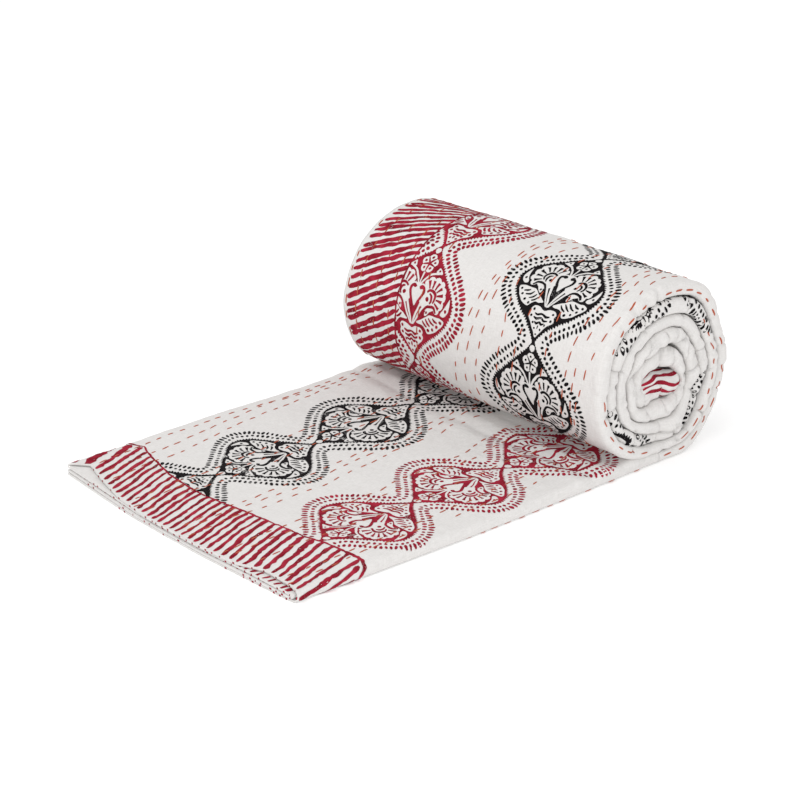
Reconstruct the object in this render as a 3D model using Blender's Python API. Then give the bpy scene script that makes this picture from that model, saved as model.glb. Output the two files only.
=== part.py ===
"""A block printed cotton bedspread, folded lengthwise in four layers and rolled up, with its
free end lying flat on the floor in front of the roll.

The cloth is one sheet. The roll is the whole folded packet wound inwards from the floor, and the
tail is the stretch that still lies flat, as four layers folded back and forth. X runs from the
tail's end to the roll, Y along the roll, and the origin is under the middle of the whole, on the
floor.
"""
import math

import bmesh
import bpy
import numpy as np

# The cloth as it was cut: a single bed's cover, quilted with running stitches
CLOTH_WIDTH = 1.52
CLOTH_LENGTH = 2.28
CLOTH_THICKNESS = 0.0022
LAYERS = 4
PACKET_WIDTH = CLOTH_WIDTH / LAYERS

# The roll: each turn lies one turn step inside the last, and its own weight sags it a little.
# Its core has sunk below the middle and follows the uneven outline less. The cloth's inner end
# is pinched into a last curl, which closes the core.
ROLL_RADIUS = 0.102
ROLL_SAG = 0.95
TURN_STEP = 0.01554
PACKET_THICKNESS = 0.0145
FLAT_ANGLE = math.radians(19)
CORE_DRIFT = 0.0043
CORE_SINK = 0.019
CORE_FOLLOWS = 0.35
MIDDLE_SWELL = 0.018
STEEP = 0.5
CORE_CURL = math.radians(170)
CORE_GAP = 0.0012

# The tail: how far it reaches from the roll's centre line, and how its end lies askew
TAIL_LENGTH = 0.481
TAIL_SKEW = 0.032
TAIL_LAYER_STEP = (PACKET_THICKNESS * ROLL_SAG - CLOTH_THICKNESS) / (LAYERS - 1)
TAIL_WAVE = 0.0012
WAVES_ONWARD = 1.55
WAVES_ACROSS = 0.64
NEAR_BOW = 0.004
FAR_DROOP = 0.16
FAR_DROOP_REACH = 0.07
CORNER_PRESS = 0.26
CORNER_REACH = 0.13
END_PRESS_REACH = 0.065

# Places: the centre line of the roll, and the near edge of the folded packet
CENTRE_X = 0.1909
CENTRE_Z = ROLL_RADIUS * ROLL_SAG
NEAR_Y = -0.1890
GAP = 0.0003

# Mesh steps
STATIONS_PER_TURN = 26
TAIL_STEPS = 24
RUN_STEPS = 11
SMALL_FOLD_STEPS = 4
LARGE_FOLD_STEPS = 6
SMOOTHING = (-8, -4, 0, 4, 8)

# How far the roll's outline stands from a true round at each heading, at its two ends.
# Heading 0 points away from the tail, 90 up, 180 to the tail and 270 down.
OUTLINE_COLUMNS = ("heading", "near", "far")
OUTLINE = np.array((
    (0, 1.00, 1.00),
    (22, 0.93, 0.99),
    (52, 1.08, 1.02),
    (78, 1.03, 1.00),
    (100, 1.02, 0.98),
    (130, 1.03, 0.98),
    (158, 1.02, 0.99),
    (180, 1.01, 1.02),
    (202, 1.07, 1.05),
    (222, 1.12, 1.09),
    (240, 1.10, 1.09),
    (254, 1.04, 1.04),
    (270, 1.03, 1.03),
    (289, 1.07, 1.06),
    (305, 1.09, 1.06),
    (323, 1.01, 1.02),
    (338, 0.99, 1.00),
))

# The packet's section: how deep a point lies in it, how far along the roll, and how far in
# from that place. The near side is one round double fold. The far side has a fold and two hems.
SECTION_COLUMNS = ("depth", "along", "inset")
SECTION = np.array((
    (0.00, 0.00, 0.0075),
    (0.00, 0.33, 0.0),
    (0.00, 0.67, 0.0),
    (0.00, 1.00, -0.0040),
    (0.14, 1.00, -0.0008),
    (0.46, 1.00, 0.0),
    (0.50, 1.00, -0.0050),
    (0.54, 1.00, -0.0010),
    (0.90, 1.00, -0.0010),
    (1.00, 1.00, -0.0050),
    (1.00, 0.67, 0.0),
    (1.00, 0.33, 0.0),
    (1.00, 0.00, 0.0075),
    (0.86, 0.00, 0.0022),
    (0.50, 0.00, 0.0),
    (0.14, 0.00, 0.0022),
))

# How far each turn has slipped inwards at the two ends of the roll
SLIP_COLUMNS = ("turn", "near", "far")
SLIP = np.array((
    (0.0, 0.000, 0.000),
    (0.5, 0.001, 0.007),
    (1.0, -0.002, 0.004),
    (2.0, 0.003, -0.002),
    (3.0, 0.000, 0.004),
    (4.0, 0.002, 0.001),
    (5.0, 0.004, 0.004),
    (6.0, 0.004, 0.004),
))

# How far the cloth's end sticks out past a straight line, at each share of its width. The folds
# lie at 0.25, 0.5 and 0.75, so the four rows of the table are the four layers.
END_COLUMNS = ("across", "out")
END_STAGGER = np.array((
    (0.000, 0.004), (0.025, 0.006), (0.085, 0.011), (0.150, 0.0095), (0.190, 0.006), (0.230, 0.002),
    (0.250, 0.000), (0.280, 0.001), (0.310, 0.004), (0.345, 0.008), (0.410, 0.009), (0.475, 0.004),
    (0.496, 0.003), (0.508, -0.013), (0.530, -0.003), (0.560, 0.007), (0.600, 0.011), (0.655, 0.009),
    (0.688, 0.003), (0.708, -0.008), (0.737, -0.007), (0.750, -0.002),
    (0.760, 0.000), (0.800, 0.0045), (0.850, 0.0095), (0.920, 0.011), (0.980, 0.0065), (1.000, 0.004),
))

# How much flatter the layers lie at their end, from the near side to the far side
PRESS_COLUMNS = ("side", "press")
END_PRESS = np.array((
    (0.00, 0.00),
    (0.08, 0.02),
    (0.25, 0.28),
    (0.40, 0.34),
    (0.68, 0.34),
    (0.82, 0.24),
    (1.00, 0.00),
))


def column(table, columns, name):
    """One named column of a table."""
    return table[:, columns.index(name)]


def outline_share(heading, along):
    """How far the outline stands out at a heading, between the near end and the far end."""
    degrees = np.degrees(heading) + np.array(SMOOTHING)
    headings = column(OUTLINE, OUTLINE_COLUMNS, "heading")
    near, far = (
        np.interp(degrees, headings, column(OUTLINE, OUTLINE_COLUMNS, end), period=360).mean()
        for end in ("near", "far")
    )
    return near + (far - near) * along + MIDDLE_SWELL * (math.sin(math.pi * along) - 0.5)


def floor_share(heading):
    """The share at which the outline reaches the floor, which flattens the roll's underside."""
    down = -math.sin(heading)
    return 1 / max(down, STEEP)


def turn_radius(unwound):
    """Radius of the packet's outer face. The first few degrees still lie on the floor."""
    full_turn = 2 * math.pi
    if unwound < FLAT_ANGLE:
        return ROLL_RADIUS
    if unwound < full_turn:
        return ROLL_RADIUS - TURN_STEP * (unwound - FLAT_ANGLE) / (full_turn - FLAT_ANGLE)
    return ROLL_RADIUS - TURN_STEP * unwound / full_turn


def wound_angle():
    """The angle that the cloth's rolled length fills, measured along the packet's middle, and
    the last curl."""
    rolled = CLOTH_LENGTH - TAIL_LENGTH
    middle = ROLL_RADIUS - PACKET_THICKNESS / 2
    tightening = TURN_STEP / (4 * math.pi)
    angle = (middle - math.sqrt(middle ** 2 - 4 * tightening * rolled)) / (2 * tightening)
    return angle + CORE_CURL


def roll_point(unwound, depth, along, inset):
    """A point of the wound packet. Every turn follows the outline, and the core less so."""
    outer = turn_radius(unwound)
    radius = outer - depth * min(PACKET_THICKNESS, outer - CORE_GAP)
    heading = unwound - math.pi / 2
    follow = CORE_FOLLOWS + (1 - CORE_FOLLOWS) * radius / ROLL_RADIUS
    share = min(1 + (outline_share(heading, along) - 1) * follow, floor_share(heading))
    inward = max(0.0, ROLL_RADIUS - PACKET_THICKNESS - radius) / ROLL_RADIUS
    turn = unwound / (2 * math.pi)
    turns = column(SLIP, SLIP_COLUMNS, "turn")
    near = NEAR_Y + np.interp(turn, turns, column(SLIP, SLIP_COLUMNS, "near"))
    far = NEAR_Y + PACKET_WIDTH - np.interp(turn, turns, column(SLIP, SLIP_COLUMNS, "far"))
    return (
        CENTRE_X + CORE_DRIFT * inward + radius * share * math.cos(heading),
        near + (far - near) * along + inset,
        CENTRE_Z - CORE_SINK * inward + ROLL_SAG * radius * share * math.sin(heading),
    )


def fold_route():
    """The packet's middle line across the tail, as (y, height in layer steps, share of width).

    The cloth starts at a hem on the far side, turns at the near side, comes back under itself
    and wraps round the first turn, so that the print of one layer faces up.
    """
    near = CLOTH_THICKNESS / 2 + 1.5 * TAIL_LAYER_STEP
    far = PACKET_WIDTH - CLOTH_THICKNESS / 2 - 0.5 * TAIL_LAYER_STEP
    hem = PACKET_WIDTH - CLOTH_THICKNESS

    def run(start, end, level, first, last):
        steps = np.linspace(0, 1, RUN_STEPS + 1)
        return [
            (start + (end - start) * step, level, first + (last - first) * step) for step in steps
        ]

    def fold(centre, middle, reach, side, rising, first, last, steps):
        turn = np.linspace(0, math.pi, steps + 1)[1:-1]
        return [
            (
                centre + side * reach * TAIL_LAYER_STEP * math.sin(angle),
                middle - rising * reach * math.cos(angle),
                first + (last - first) * angle / math.pi,
            )
            for angle in turn
        ]

    return (
        run(hem, near, 1, 0.0, 0.248)
        + fold(near, 1.5, 0.5, -1, 1, 0.248, 0.252, SMALL_FOLD_STEPS)
        + run(near, far, 2, 0.252, 0.498)
        + fold(far, 2.5, 0.5, 1, 1, 0.498, 0.502, SMALL_FOLD_STEPS)
        + run(far, near, 3, 0.502, 0.744)
        + fold(near, 1.5, 1.5, -1, -1, 0.744, 0.756, LARGE_FOLD_STEPS)
        + run(near, hem, 0, 0.756, 1.0)
    )


def tail_point(route_point, onward):
    """A point of the tail, from its end (onward 0) to where it goes under the roll (onward 1)."""
    across_y, level, across = route_point
    side = across_y / PACKET_WIDTH
    widths = column(END_STAGGER, END_COLUMNS, "across")
    out = np.interp(across, widths, column(END_STAGGER, END_COLUMNS, "out"))
    start = -TAIL_LENGTH + TAIL_SKEW * side - out
    along = start + (-GAP - start) * onward
    corner = math.hypot(along + TAIL_LENGTH, across_y) / CORNER_REACH
    droop = FAR_DROOP * max(0.0, 1 - (PACKET_WIDTH - across_y) / FAR_DROOP_REACH)
    from_end = min(1.0, onward * TAIL_LENGTH / END_PRESS_REACH)
    press = np.interp(side, *(column(END_PRESS, PRESS_COLUMNS, name) for name in PRESS_COLUMNS))
    flatter = press * (1 - from_end ** 2 * (3 - 2 * from_end))
    pressed = 1 - CORNER_PRESS * max(0.0, 1 - corner) - droop * (1 - onward ** 4) - flatter
    phase = 2 * math.pi * (WAVES_ONWARD * onward + WAVES_ACROSS * side)
    wave = TAIL_WAVE * math.sin(math.pi * onward) * math.sin(phase)
    height = CLOTH_THICKNESS / 2 + level * (TAIL_LAYER_STEP * pressed + wave / (LAYERS - 1))
    bow = NEAR_BOW * math.sin(math.pi * onward) * (1 - side)
    return (CENTRE_X + along, NEAR_Y + across_y - bow, height)


def shaped_grid(columns, rows, place):
    """A grid of faces, each point of which is moved to place(column, row)."""
    bm = bmesh.new()
    bmesh.ops.create_grid(bm, x_segments=columns, y_segments=rows, size=1)
    for vert in bm.verts:
        vert.co = place(round((vert.co.x + 1) / 2 * columns), round((vert.co.y + 1) / 2 * rows))
    return bm


def finished(name, bm, material):
    """Turns a bmesh into an object with its material, shaded smooth but for its hems."""
    bmesh.ops.recalc_face_normals(bm, faces=bm.faces)
    mesh = bpy.data.meshes.new(name)
    bm.to_mesh(mesh)
    bm.free()
    mesh.shade_smooth()
    mesh.set_sharp_from_angle(angle=math.radians(40))
    mesh.materials.append(material)
    piece = bpy.data.objects.new(name, mesh)
    bpy.context.collection.objects.link(piece)
    return piece


def cotton(name, colour):
    """Plain matt cotton."""
    material = bpy.data.materials.new(name)
    material.use_nodes = True
    shader = material.node_tree.nodes["Principled BSDF"]
    shader.inputs["Base Color"].default_value = (*colour, 1)
    shader.inputs["Roughness"].default_value = 0.9
    shader.inputs["Metallic"].default_value = 0.0
    return material


def make_roll(material):
    """The wound packet: a grid closed into a tube along the spiral, with both its ends filled."""
    angle = wound_angle()
    stations = round(STATIONS_PER_TURN * angle / (2 * math.pi))
    points = len(SECTION)

    def place(station, point):
        return roll_point(angle * station / stations, *SECTION[point % points])

    bm = shaped_grid(stations, points, place)
    bmesh.ops.remove_doubles(bm, verts=bm.verts, dist=0.00001)
    bmesh.ops.holes_fill(bm, edges=bm.edges, sides=points)
    bmesh.ops.triangulate(bm, faces=[face for face in bm.faces if len(face.verts) > 4])
    return finished("roll", bm, material)


def make_tail(material):
    """The four flat layers: one sheet folded back and forth, then given its thickness."""
    route = fold_route()

    def place(across, onward):
        return tail_point(route[across], onward / TAIL_STEPS)

    tail = finished("tail", shaped_grid(len(route) - 1, TAIL_STEPS, place), material)
    solidify = tail.modifiers.new("Thickness", "SOLIDIFY")
    solidify.thickness = CLOTH_THICKNESS
    solidify.offset = 0
    return tail


def main():
    for old in list(bpy.data.objects):
        bpy.data.objects.remove(old, do_unlink=True)
    printed = cotton("printed_cotton", (0.74, 0.68, 0.65))
    make_roll(printed)
    make_tail(printed)


main()
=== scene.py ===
# %% [markdown]
# Rolled block print bedspread. The real thing is one large cotton cloth, quilted with running stitches
# and printed by hand with carved wooden blocks. It was folded lengthwise in four and rolled up, with its
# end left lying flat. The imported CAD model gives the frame: two solids, the roll and the flat tail.

# %% Load the frame
import math

import bmesh
import bpy
import numpy as np
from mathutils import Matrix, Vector
from mathutils.geometry import delaunay_2d_cdt


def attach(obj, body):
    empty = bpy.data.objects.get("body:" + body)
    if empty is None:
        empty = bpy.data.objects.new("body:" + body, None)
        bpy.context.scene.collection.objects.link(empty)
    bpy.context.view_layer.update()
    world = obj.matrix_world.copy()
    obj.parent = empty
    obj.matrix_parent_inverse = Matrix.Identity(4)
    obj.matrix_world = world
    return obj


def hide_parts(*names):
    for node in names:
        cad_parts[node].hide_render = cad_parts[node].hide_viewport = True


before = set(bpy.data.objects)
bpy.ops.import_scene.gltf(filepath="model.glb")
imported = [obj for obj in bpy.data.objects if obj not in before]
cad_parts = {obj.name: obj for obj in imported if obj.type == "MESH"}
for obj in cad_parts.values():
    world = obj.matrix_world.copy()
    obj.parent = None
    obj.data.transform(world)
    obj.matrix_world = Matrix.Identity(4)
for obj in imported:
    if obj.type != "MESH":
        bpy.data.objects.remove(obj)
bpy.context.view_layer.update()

# %% [markdown]
# The camera stands where the photographer stood: low, at the tail's side, and far away with a long lens,
# so that near and far parts keep nearly the same scale. The direction is given by two angles, and the
# camera is turned to look along it.

# %% Camera
VIEW_AZIMUTH = math.radians(42.55)
VIEW_ELEVATION = math.radians(21.85)
VIEW_DISTANCE = 3.0297
VIEW_TARGET = Vector((0.0303, 0.0247, 0.0519))
LENS = 136.04

view_back = Vector((
    -math.sin(VIEW_AZIMUTH) * math.cos(VIEW_ELEVATION),
    -math.cos(VIEW_AZIMUTH) * math.cos(VIEW_ELEVATION),
    math.sin(VIEW_ELEVATION),
))
camera = bpy.data.objects.new("camera", bpy.data.cameras.new("camera"))
bpy.context.collection.objects.link(camera)
camera.location = VIEW_TARGET + view_back * VIEW_DISTANCE
camera.rotation_mode = "QUATERNION"
camera.rotation_quaternion = (-view_back).to_track_quat("-Z", "Y")
camera.data.sensor_width = 36
camera.data.lens = LENS
bpy.context.scene.camera = camera
print("camera at", [round(value, 3) for value in camera.location])

# %% [markdown]
# A product photograph is lit by large soft lamps in a white room. A white world fills every fold. One
# wide lamp stands overhead, one on the left reaches in under the roll, and one in front lights the roll's
# near face. The floor glows a little, so that it stays pure white but for a faint shadow where the cloth
# touches it. The plain view transform keeps white cloth white.

# %% Light and floor
world = bpy.data.worlds.new("studio")
bpy.context.scene.world = world
world.use_nodes = True
world.node_tree.nodes["Background"].inputs["Color"].default_value = (1.0, 1.0, 1.0, 1)
world.node_tree.nodes["Background"].inputs["Strength"].default_value = 0.88
bpy.context.scene.view_settings.view_transform = "Standard"


def soft_lamp(name, place, aim, size, power):
    """A wide square lamp that stands at place and shines at aim."""
    lamp = bpy.data.objects.new(name, bpy.data.lights.new(name, "AREA"))
    lamp.data.size = size
    lamp.data.energy = power
    lamp.location = place
    lamp.rotation_mode = "QUATERNION"
    lamp.rotation_quaternion = (Vector(aim) - Vector(place)).to_track_quat("-Z", "Y")
    bpy.context.collection.objects.link(lamp)


ROLL_CENTRE = (0.19, 0.0, 0.09)
soft_lamp("overhead", (-1.1, 0.7, 2.5), ROLL_CENTRE, 1.8, 10)
soft_lamp("left", (-2.2, -0.8, 1.1), ROLL_CENTRE, 1.2, 11.5)
soft_lamp("front", (-0.5, -2.4, 1.5), ROLL_CENTRE, 2.2, 10)

floor_mesh = bmesh.new()
bmesh.ops.create_grid(floor_mesh, x_segments=1, y_segments=1, size=6)
floor = bpy.data.objects.new("floor", bpy.data.meshes.new("floor"))
floor_mesh.to_mesh(floor.data)
floor_mesh.free()
bpy.context.collection.objects.link(floor)
floor_paint = bpy.data.materials.new("floor")
floor_paint.use_nodes = True
floor_shader = floor_paint.node_tree.nodes["Principled BSDF"]
floor_shader.inputs["Base Color"].default_value = (0.90, 0.90, 0.90, 1)
floor_shader.inputs["Roughness"].default_value = 0.9
floor_shader.inputs["Emission Color"].default_value = (1.0, 1.0, 1.0, 1)
floor_shader.inputs["Emission Strength"].default_value = 0.20
floor.data.materials.append(floor_paint)

# %% [markdown]
# The cloth is 1.52 m wide and 2.28 m long. A point of it is named by u, its distance across the cloth
# from one long hem, and s, its distance along the cloth from the tail's end. Folding in four lays the
# width on a route of four runs and three folds, and rolling winds the length up. The numbers are the
# CAD's own.

# %% Sizes shared with the CAD
CLOTH_WIDTH = 1.52
CLOTH_LENGTH = 2.28
CLOTH_THICKNESS = 0.0022
PACKET_WIDTH = 0.38
PACKET_THICKNESS = 0.0145
ROLL_RADIUS = 0.102
ROLL_SAG = 0.95
TURN_STEP = 0.01554
FLAT_ANGLE = math.radians(19)
CORE_DRIFT = 0.0043
CORE_SINK = 0.019
CORE_FOLLOWS = 0.35
MIDDLE_SWELL = 0.018
STEEP = 0.5
CORE_CURL = math.radians(170)
CORE_GAP = 0.0012
TAIL_LENGTH = 0.481
TAIL_SKEW = 0.032
TAIL_WAVE = 0.0012
WAVES_ONWARD = 1.55
WAVES_ACROSS = 0.64
NEAR_BOW = 0.004
FAR_DROOP = 0.16
FAR_DROOP_REACH = 0.07
CORNER_PRESS = 0.26
CORNER_REACH = 0.13
END_PRESS_REACH = 0.065
CENTRE_X = 0.1909
CENTRE_Z = ROLL_RADIUS * ROLL_SAG
NEAR_Y = -0.1890
LAYER_STEP = (PACKET_THICKNESS * ROLL_SAG - CLOTH_THICKNESS) / 3
SMOOTHING = (-8, -4, 0, 4, 8)
OUTLINE = (
    (0, 1.00, 1.00), (22, 0.93, 0.99), (52, 1.08, 1.02), (78, 1.03, 1.00), (100, 1.02, 0.98),
    (130, 1.03, 0.98), (158, 1.02, 0.99), (180, 1.01, 1.02), (202, 1.07, 1.05), (222, 1.12, 1.09),
    (240, 1.10, 1.09), (254, 1.04, 1.04), (270, 1.03, 1.03), (289, 1.07, 1.06), (305, 1.09, 1.06),
    (323, 1.01, 1.02), (338, 0.99, 1.00),
)
SLIP = (
    (0, 0, 0), (0.5, 0.001, 0.007), (1, -0.002, 0.004), (2, 0.003, -0.002), (3, 0, 0.004),
    (4, 0.002, 0.001), (5, 0.004, 0.004), (6, 0.004, 0.004),
)
END_STAGGER = (
    (0.000, 0.004), (0.025, 0.006), (0.085, 0.011), (0.150, 0.0095), (0.190, 0.006), (0.230, 0.002),
    (0.250, 0.000), (0.280, 0.001), (0.310, 0.004), (0.345, 0.008), (0.410, 0.009), (0.475, 0.004),
    (0.496, 0.003), (0.508, -0.013), (0.530, -0.003), (0.560, 0.007), (0.600, 0.011), (0.655, 0.009),
    (0.688, 0.003), (0.708, -0.008), (0.737, -0.007), (0.750, -0.002),
    (0.760, 0.000), (0.800, 0.0045), (0.850, 0.0095), (0.920, 0.011), (0.980, 0.0065), (1.000, 0.004),
)
END_PRESS = (
    (0, 0), (0.08, 0.02), (0.25, 0.28), (0.40, 0.34), (0.68, 0.34), (0.82, 0.24), (1, 0),
)
print("one layer every", round(LAYER_STEP * 1000, 2), "mm")

# %% [markdown]
# Nothing on a soft thing repeats exactly. This smooth noise is a grid of random heights with a soft curve
# between them. Each use has its own seed, so the script makes the same cloth on every run.

# %% Smooth noise
NOISE_GRID = 64


def soft_noise(first, second, first_size, second_size, seed):
    """Smooth values from -1 to 1 over two lengths, with bumps of about the given sizes."""
    heights = np.random.default_rng(seed).uniform(-1, 1, (NOISE_GRID, NOISE_GRID))
    a, b = np.broadcast_arrays(np.asarray(first) / first_size, np.asarray(second) / second_size)
    ia, ib = np.floor(a).astype(int), np.floor(b).astype(int)
    fa, fb = a - ia, b - ib
    fa, fb = fa * fa * (3 - 2 * fa), fb * fb * (3 - 2 * fb)
    low_a, high_a, low_b, high_b = (step % NOISE_GRID for step in (ia, ia + 1, ib, ib + 1))
    before = heights[low_a, low_b] * (1 - fb) + heights[low_a, high_b] * fb
    after = heights[high_a, low_b] * (1 - fb) + heights[high_a, high_b] * fb
    return before * (1 - fa) + after * fa


def bell(distance, reach):
    """1 where distance is nought, and falling smoothly to nothing past reach."""
    return np.exp(-((np.asarray(distance) / reach) ** 2))


# %% [markdown]
# The route across the folded packet: from one hem to the near side, round the small near fold, back to
# the far fold, over the top to the near side again, round the large near fold and under everything to the
# other hem. Each step of it has a place across the packet and a level, counted in layers from the bottom.
# The large near fold is the outermost, so the weight of the roll has pressed it a little square.

# %% Route across the folds
NEAR_CENTRE = CLOTH_THICKNESS / 2 + 1.5 * LAYER_STEP
FAR_CENTRE = PACKET_WIDTH - CLOTH_THICKNESS / 2 - 0.5 * LAYER_STEP
HEM_AT = PACKET_WIDTH - CLOTH_THICKNESS
FOLD_STEPS = 24
PRESSED_FOLD = 0.62


def fold_turn(centre, middle, reach, side, rising, fullness=1.0):
    """Half a turn of cloth from one level to another. Below 1, fullness presses it towards a square."""
    angles = np.linspace(0, math.pi, FOLD_STEPS)
    out, up = np.sin(angles) ** fullness, np.sign(np.cos(angles)) * np.abs(np.cos(angles)) ** fullness
    return np.stack([centre + side * reach * LAYER_STEP * out, middle - rising * reach * up], 1)


route = np.concatenate([
    [(HEM_AT, 1)],
    fold_turn(NEAR_CENTRE, 1.5, 0.5, -1, 1),
    fold_turn(FAR_CENTRE, 2.5, 0.5, 1, 1),
    fold_turn(NEAR_CENTRE, 1.5, 1.5, -1, -1, PRESSED_FOLD),
    [(HEM_AT, 0)],
])
steps = np.hypot(np.diff(route[:, 0]), np.diff(route[:, 1]) * LAYER_STEP)
route_share = np.concatenate([[0], np.cumsum(steps)]) / steps.sum()
SMALL_FOLD, FAR_FOLD, LARGE_FOLD = (
    CLOTH_WIDTH * route_share[1 + FOLD_STEPS * i:1 + FOLD_STEPS * (i + 1)].mean() for i in range(3)
)
print("folds at", [round(fold, 4) for fold in (SMALL_FOLD, FAR_FOLD, LARGE_FOLD)], "m across the cloth")

# %% [markdown]
# The route along the cloth: flat for the length of the tail, then wound up. The roll isn't round. Its
# outline has soft corners and a flat underside, and the inner turns follow the outline less and less.
# Round the core the near face is crumpled. That is a push on the space the layers lie in and not on each
# layer, so layers that touch stay in touch: soft lumps, sharp creases, a spread of the turns, and short
# pinched lines.

# %% Route along the roll
CORE_RECESS = ((0, 0), (5.02, 0), (5.25, 0.0025), (7, 0.0025))
CORE_FLAT_REACH = 0.048
CORE_WIDER = 0.30
CORE_LOWER = 0.20
CORE_X = CENTRE_X + 0.85 * CORE_DRIFT
CORE_Z = CENTRE_Z - 0.85 * CORE_SINK
CRUMPLE_REACH = 0.070
CRUMPLE_FADE = 0.032
CRUMPLE_DEPTH = 0.040
CRUMPLE_SHIFT = 0.0050
SHIFT_SIZE = 0.021
CRUMPLE_OUT = 0.0056
BULGE_SIZE = (0.019, 0.014)
SMALL_BULGE = 0.35
SMALL_BULGE_SIZE = (0.008, 0.008)
CREASED = 0.0042
CREASED_SIZE = (0.017, 0.022)
CREASED_WIDTH = 0.13
CORE_SPREAD = 0.0052
SPREAD_FROM = 0.034
SPREAD_TO = 0.090
SPREAD_FADE = 0.048
PINCH_DEPTH = 0.0042
PINCH_REACH = 0.0013
PINCH_INWARD = 0.014
PINCHES = (
    (0.236, 0.102, 0.253, 0.107), (0.243, 0.077, 0.262, 0.082), (0.262, 0.062, 0.284, 0.056),
    (0.268, 0.102, 0.288, 0.104), (0.232, 0.066, 0.246, 0.058), (0.222, 0.146, 0.230, 0.168),
    (0.168, 0.142, 0.160, 0.168), (0.140, 0.110, 0.118, 0.118), (0.134, 0.078, 0.112, 0.070),
    (0.160, 0.046, 0.150, 0.026), (0.208, 0.044, 0.214, 0.022), (0.244, 0.044, 0.262, 0.030),
    (0.204, 0.112, 0.226, 0.120), (0.166, 0.104, 0.176, 0.128), (0.196, 0.108, 0.192, 0.134),
    (0.224, 0.086, 0.242, 0.090),
)
OUTLINE_COLUMNS = np.array(OUTLINE, float).T
SLIP_COLUMNS = np.array(SLIP, float).T
STAGGER_COLUMNS = np.array(END_STAGGER, float).T
PRESS_COLUMNS = np.array(END_PRESS, float).T
RECESS_COLUMNS = np.array(CORE_RECESS, float).T
MIDDLE_RADIUS = ROLL_RADIUS - PACKET_THICKNESS / 2
TIGHTENING = TURN_STEP / (4 * math.pi)


def wound_length(angle):
    """The length of the packet's middle that is wound up after an angle."""
    return MIDDLE_RADIUS * angle - TIGHTENING * angle ** 2


rolled = CLOTH_LENGTH - TAIL_LENGTH
LAST_ANGLE = CORE_CURL + (
    MIDDLE_RADIUS - math.sqrt(MIDDLE_RADIUS ** 2 - 4 * TIGHTENING * rolled)
) / (2 * TIGHTENING)
wind_angles = np.linspace(0, LAST_ANGLE, 2000)
wind_lengths = wound_length(wind_angles) * rolled / wound_length(LAST_ANGLE)


def unwound_at(s):
    """The angle that the roll has turned through at s."""
    return np.interp(s - TAIL_LENGTH, wind_lengths, wind_angles)


def length_at(heading_degrees, turn=0):
    """The place along the cloth where the roll points to a heading, on the given turn."""
    angle = math.radians(heading_degrees + 90) + turn * 2 * math.pi
    return TAIL_LENGTH + float(np.interp(angle, wind_angles, wind_lengths))


def outline_share(heading, along):
    """How far the roll's outline stands out from a circle, from its near end, 0, to its far end, 1."""
    degrees = np.degrees(heading)[..., None] + np.array(SMOOTHING)
    near = np.interp(degrees, OUTLINE_COLUMNS[0], OUTLINE_COLUMNS[1], period=360).mean(-1)
    far = np.interp(degrees, OUTLINE_COLUMNS[0], OUTLINE_COLUMNS[2], period=360).mean(-1)
    return near + (far - near) * along + MIDDLE_SWELL * (np.sin(math.pi * along) - 0.5)


def smooth_step(share):
    """A soft rise from 0 to 1."""
    share = np.clip(share, 0, 1)
    return share * share * (3 - 2 * share)


def crumple(x, y, z):
    """How the near face is pushed out of shape round the core. Touching layers move together."""
    from_core = np.hypot(x - CORE_X, z - CORE_Z)
    near_face = bell(y - NEAR_Y, CRUMPLE_DEPTH)
    amount = smooth_step((CRUMPLE_REACH - from_core) / CRUMPLE_FADE) * near_face
    aside, up = (CRUMPLE_SHIFT * soft_noise(x, z, SHIFT_SIZE, SHIFT_SIZE, seed) for seed in (21, 22))
    small_bulge = SMALL_BULGE * soft_noise(x, z, *SMALL_BULGE_SIZE, 24)
    out = CRUMPLE_OUT * (soft_noise(x, z, *BULGE_SIZE, 23) + small_bulge)
    out = out + CREASED * np.exp(-np.abs(soft_noise(x, z, *CREASED_SIZE, 25)) / CREASED_WIDTH)
    moved = np.stack([aside, out, up], -1) * amount[..., None]
    spread = CORE_SPREAD * smooth_step(from_core / SPREAD_FROM)
    spread = spread * smooth_step((SPREAD_TO - from_core) / SPREAD_FADE) * near_face
    away = np.stack([x - CORE_X, np.zeros(x.shape), z - CORE_Z], -1)
    moved = moved + away / np.maximum(from_core, 1e-4)[..., None] * spread[..., None]
    pinch = 0
    for x0, z0, x1, z1 in PINCHES:
        run_x, run_z = x1 - x0, z1 - z0
        share = np.clip(((x - x0) * run_x + (z - z0) * run_z) / (run_x ** 2 + run_z ** 2), 0, 1)
        pinch = pinch + bell(np.hypot(x - x0 - share * run_x, z - z0 - share * run_z), PINCH_REACH)
    moved[..., 1] += PINCH_DEPTH * np.minimum(pinch, 1) * bell(y - NEAR_Y, PINCH_INWARD)
    return moved


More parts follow.
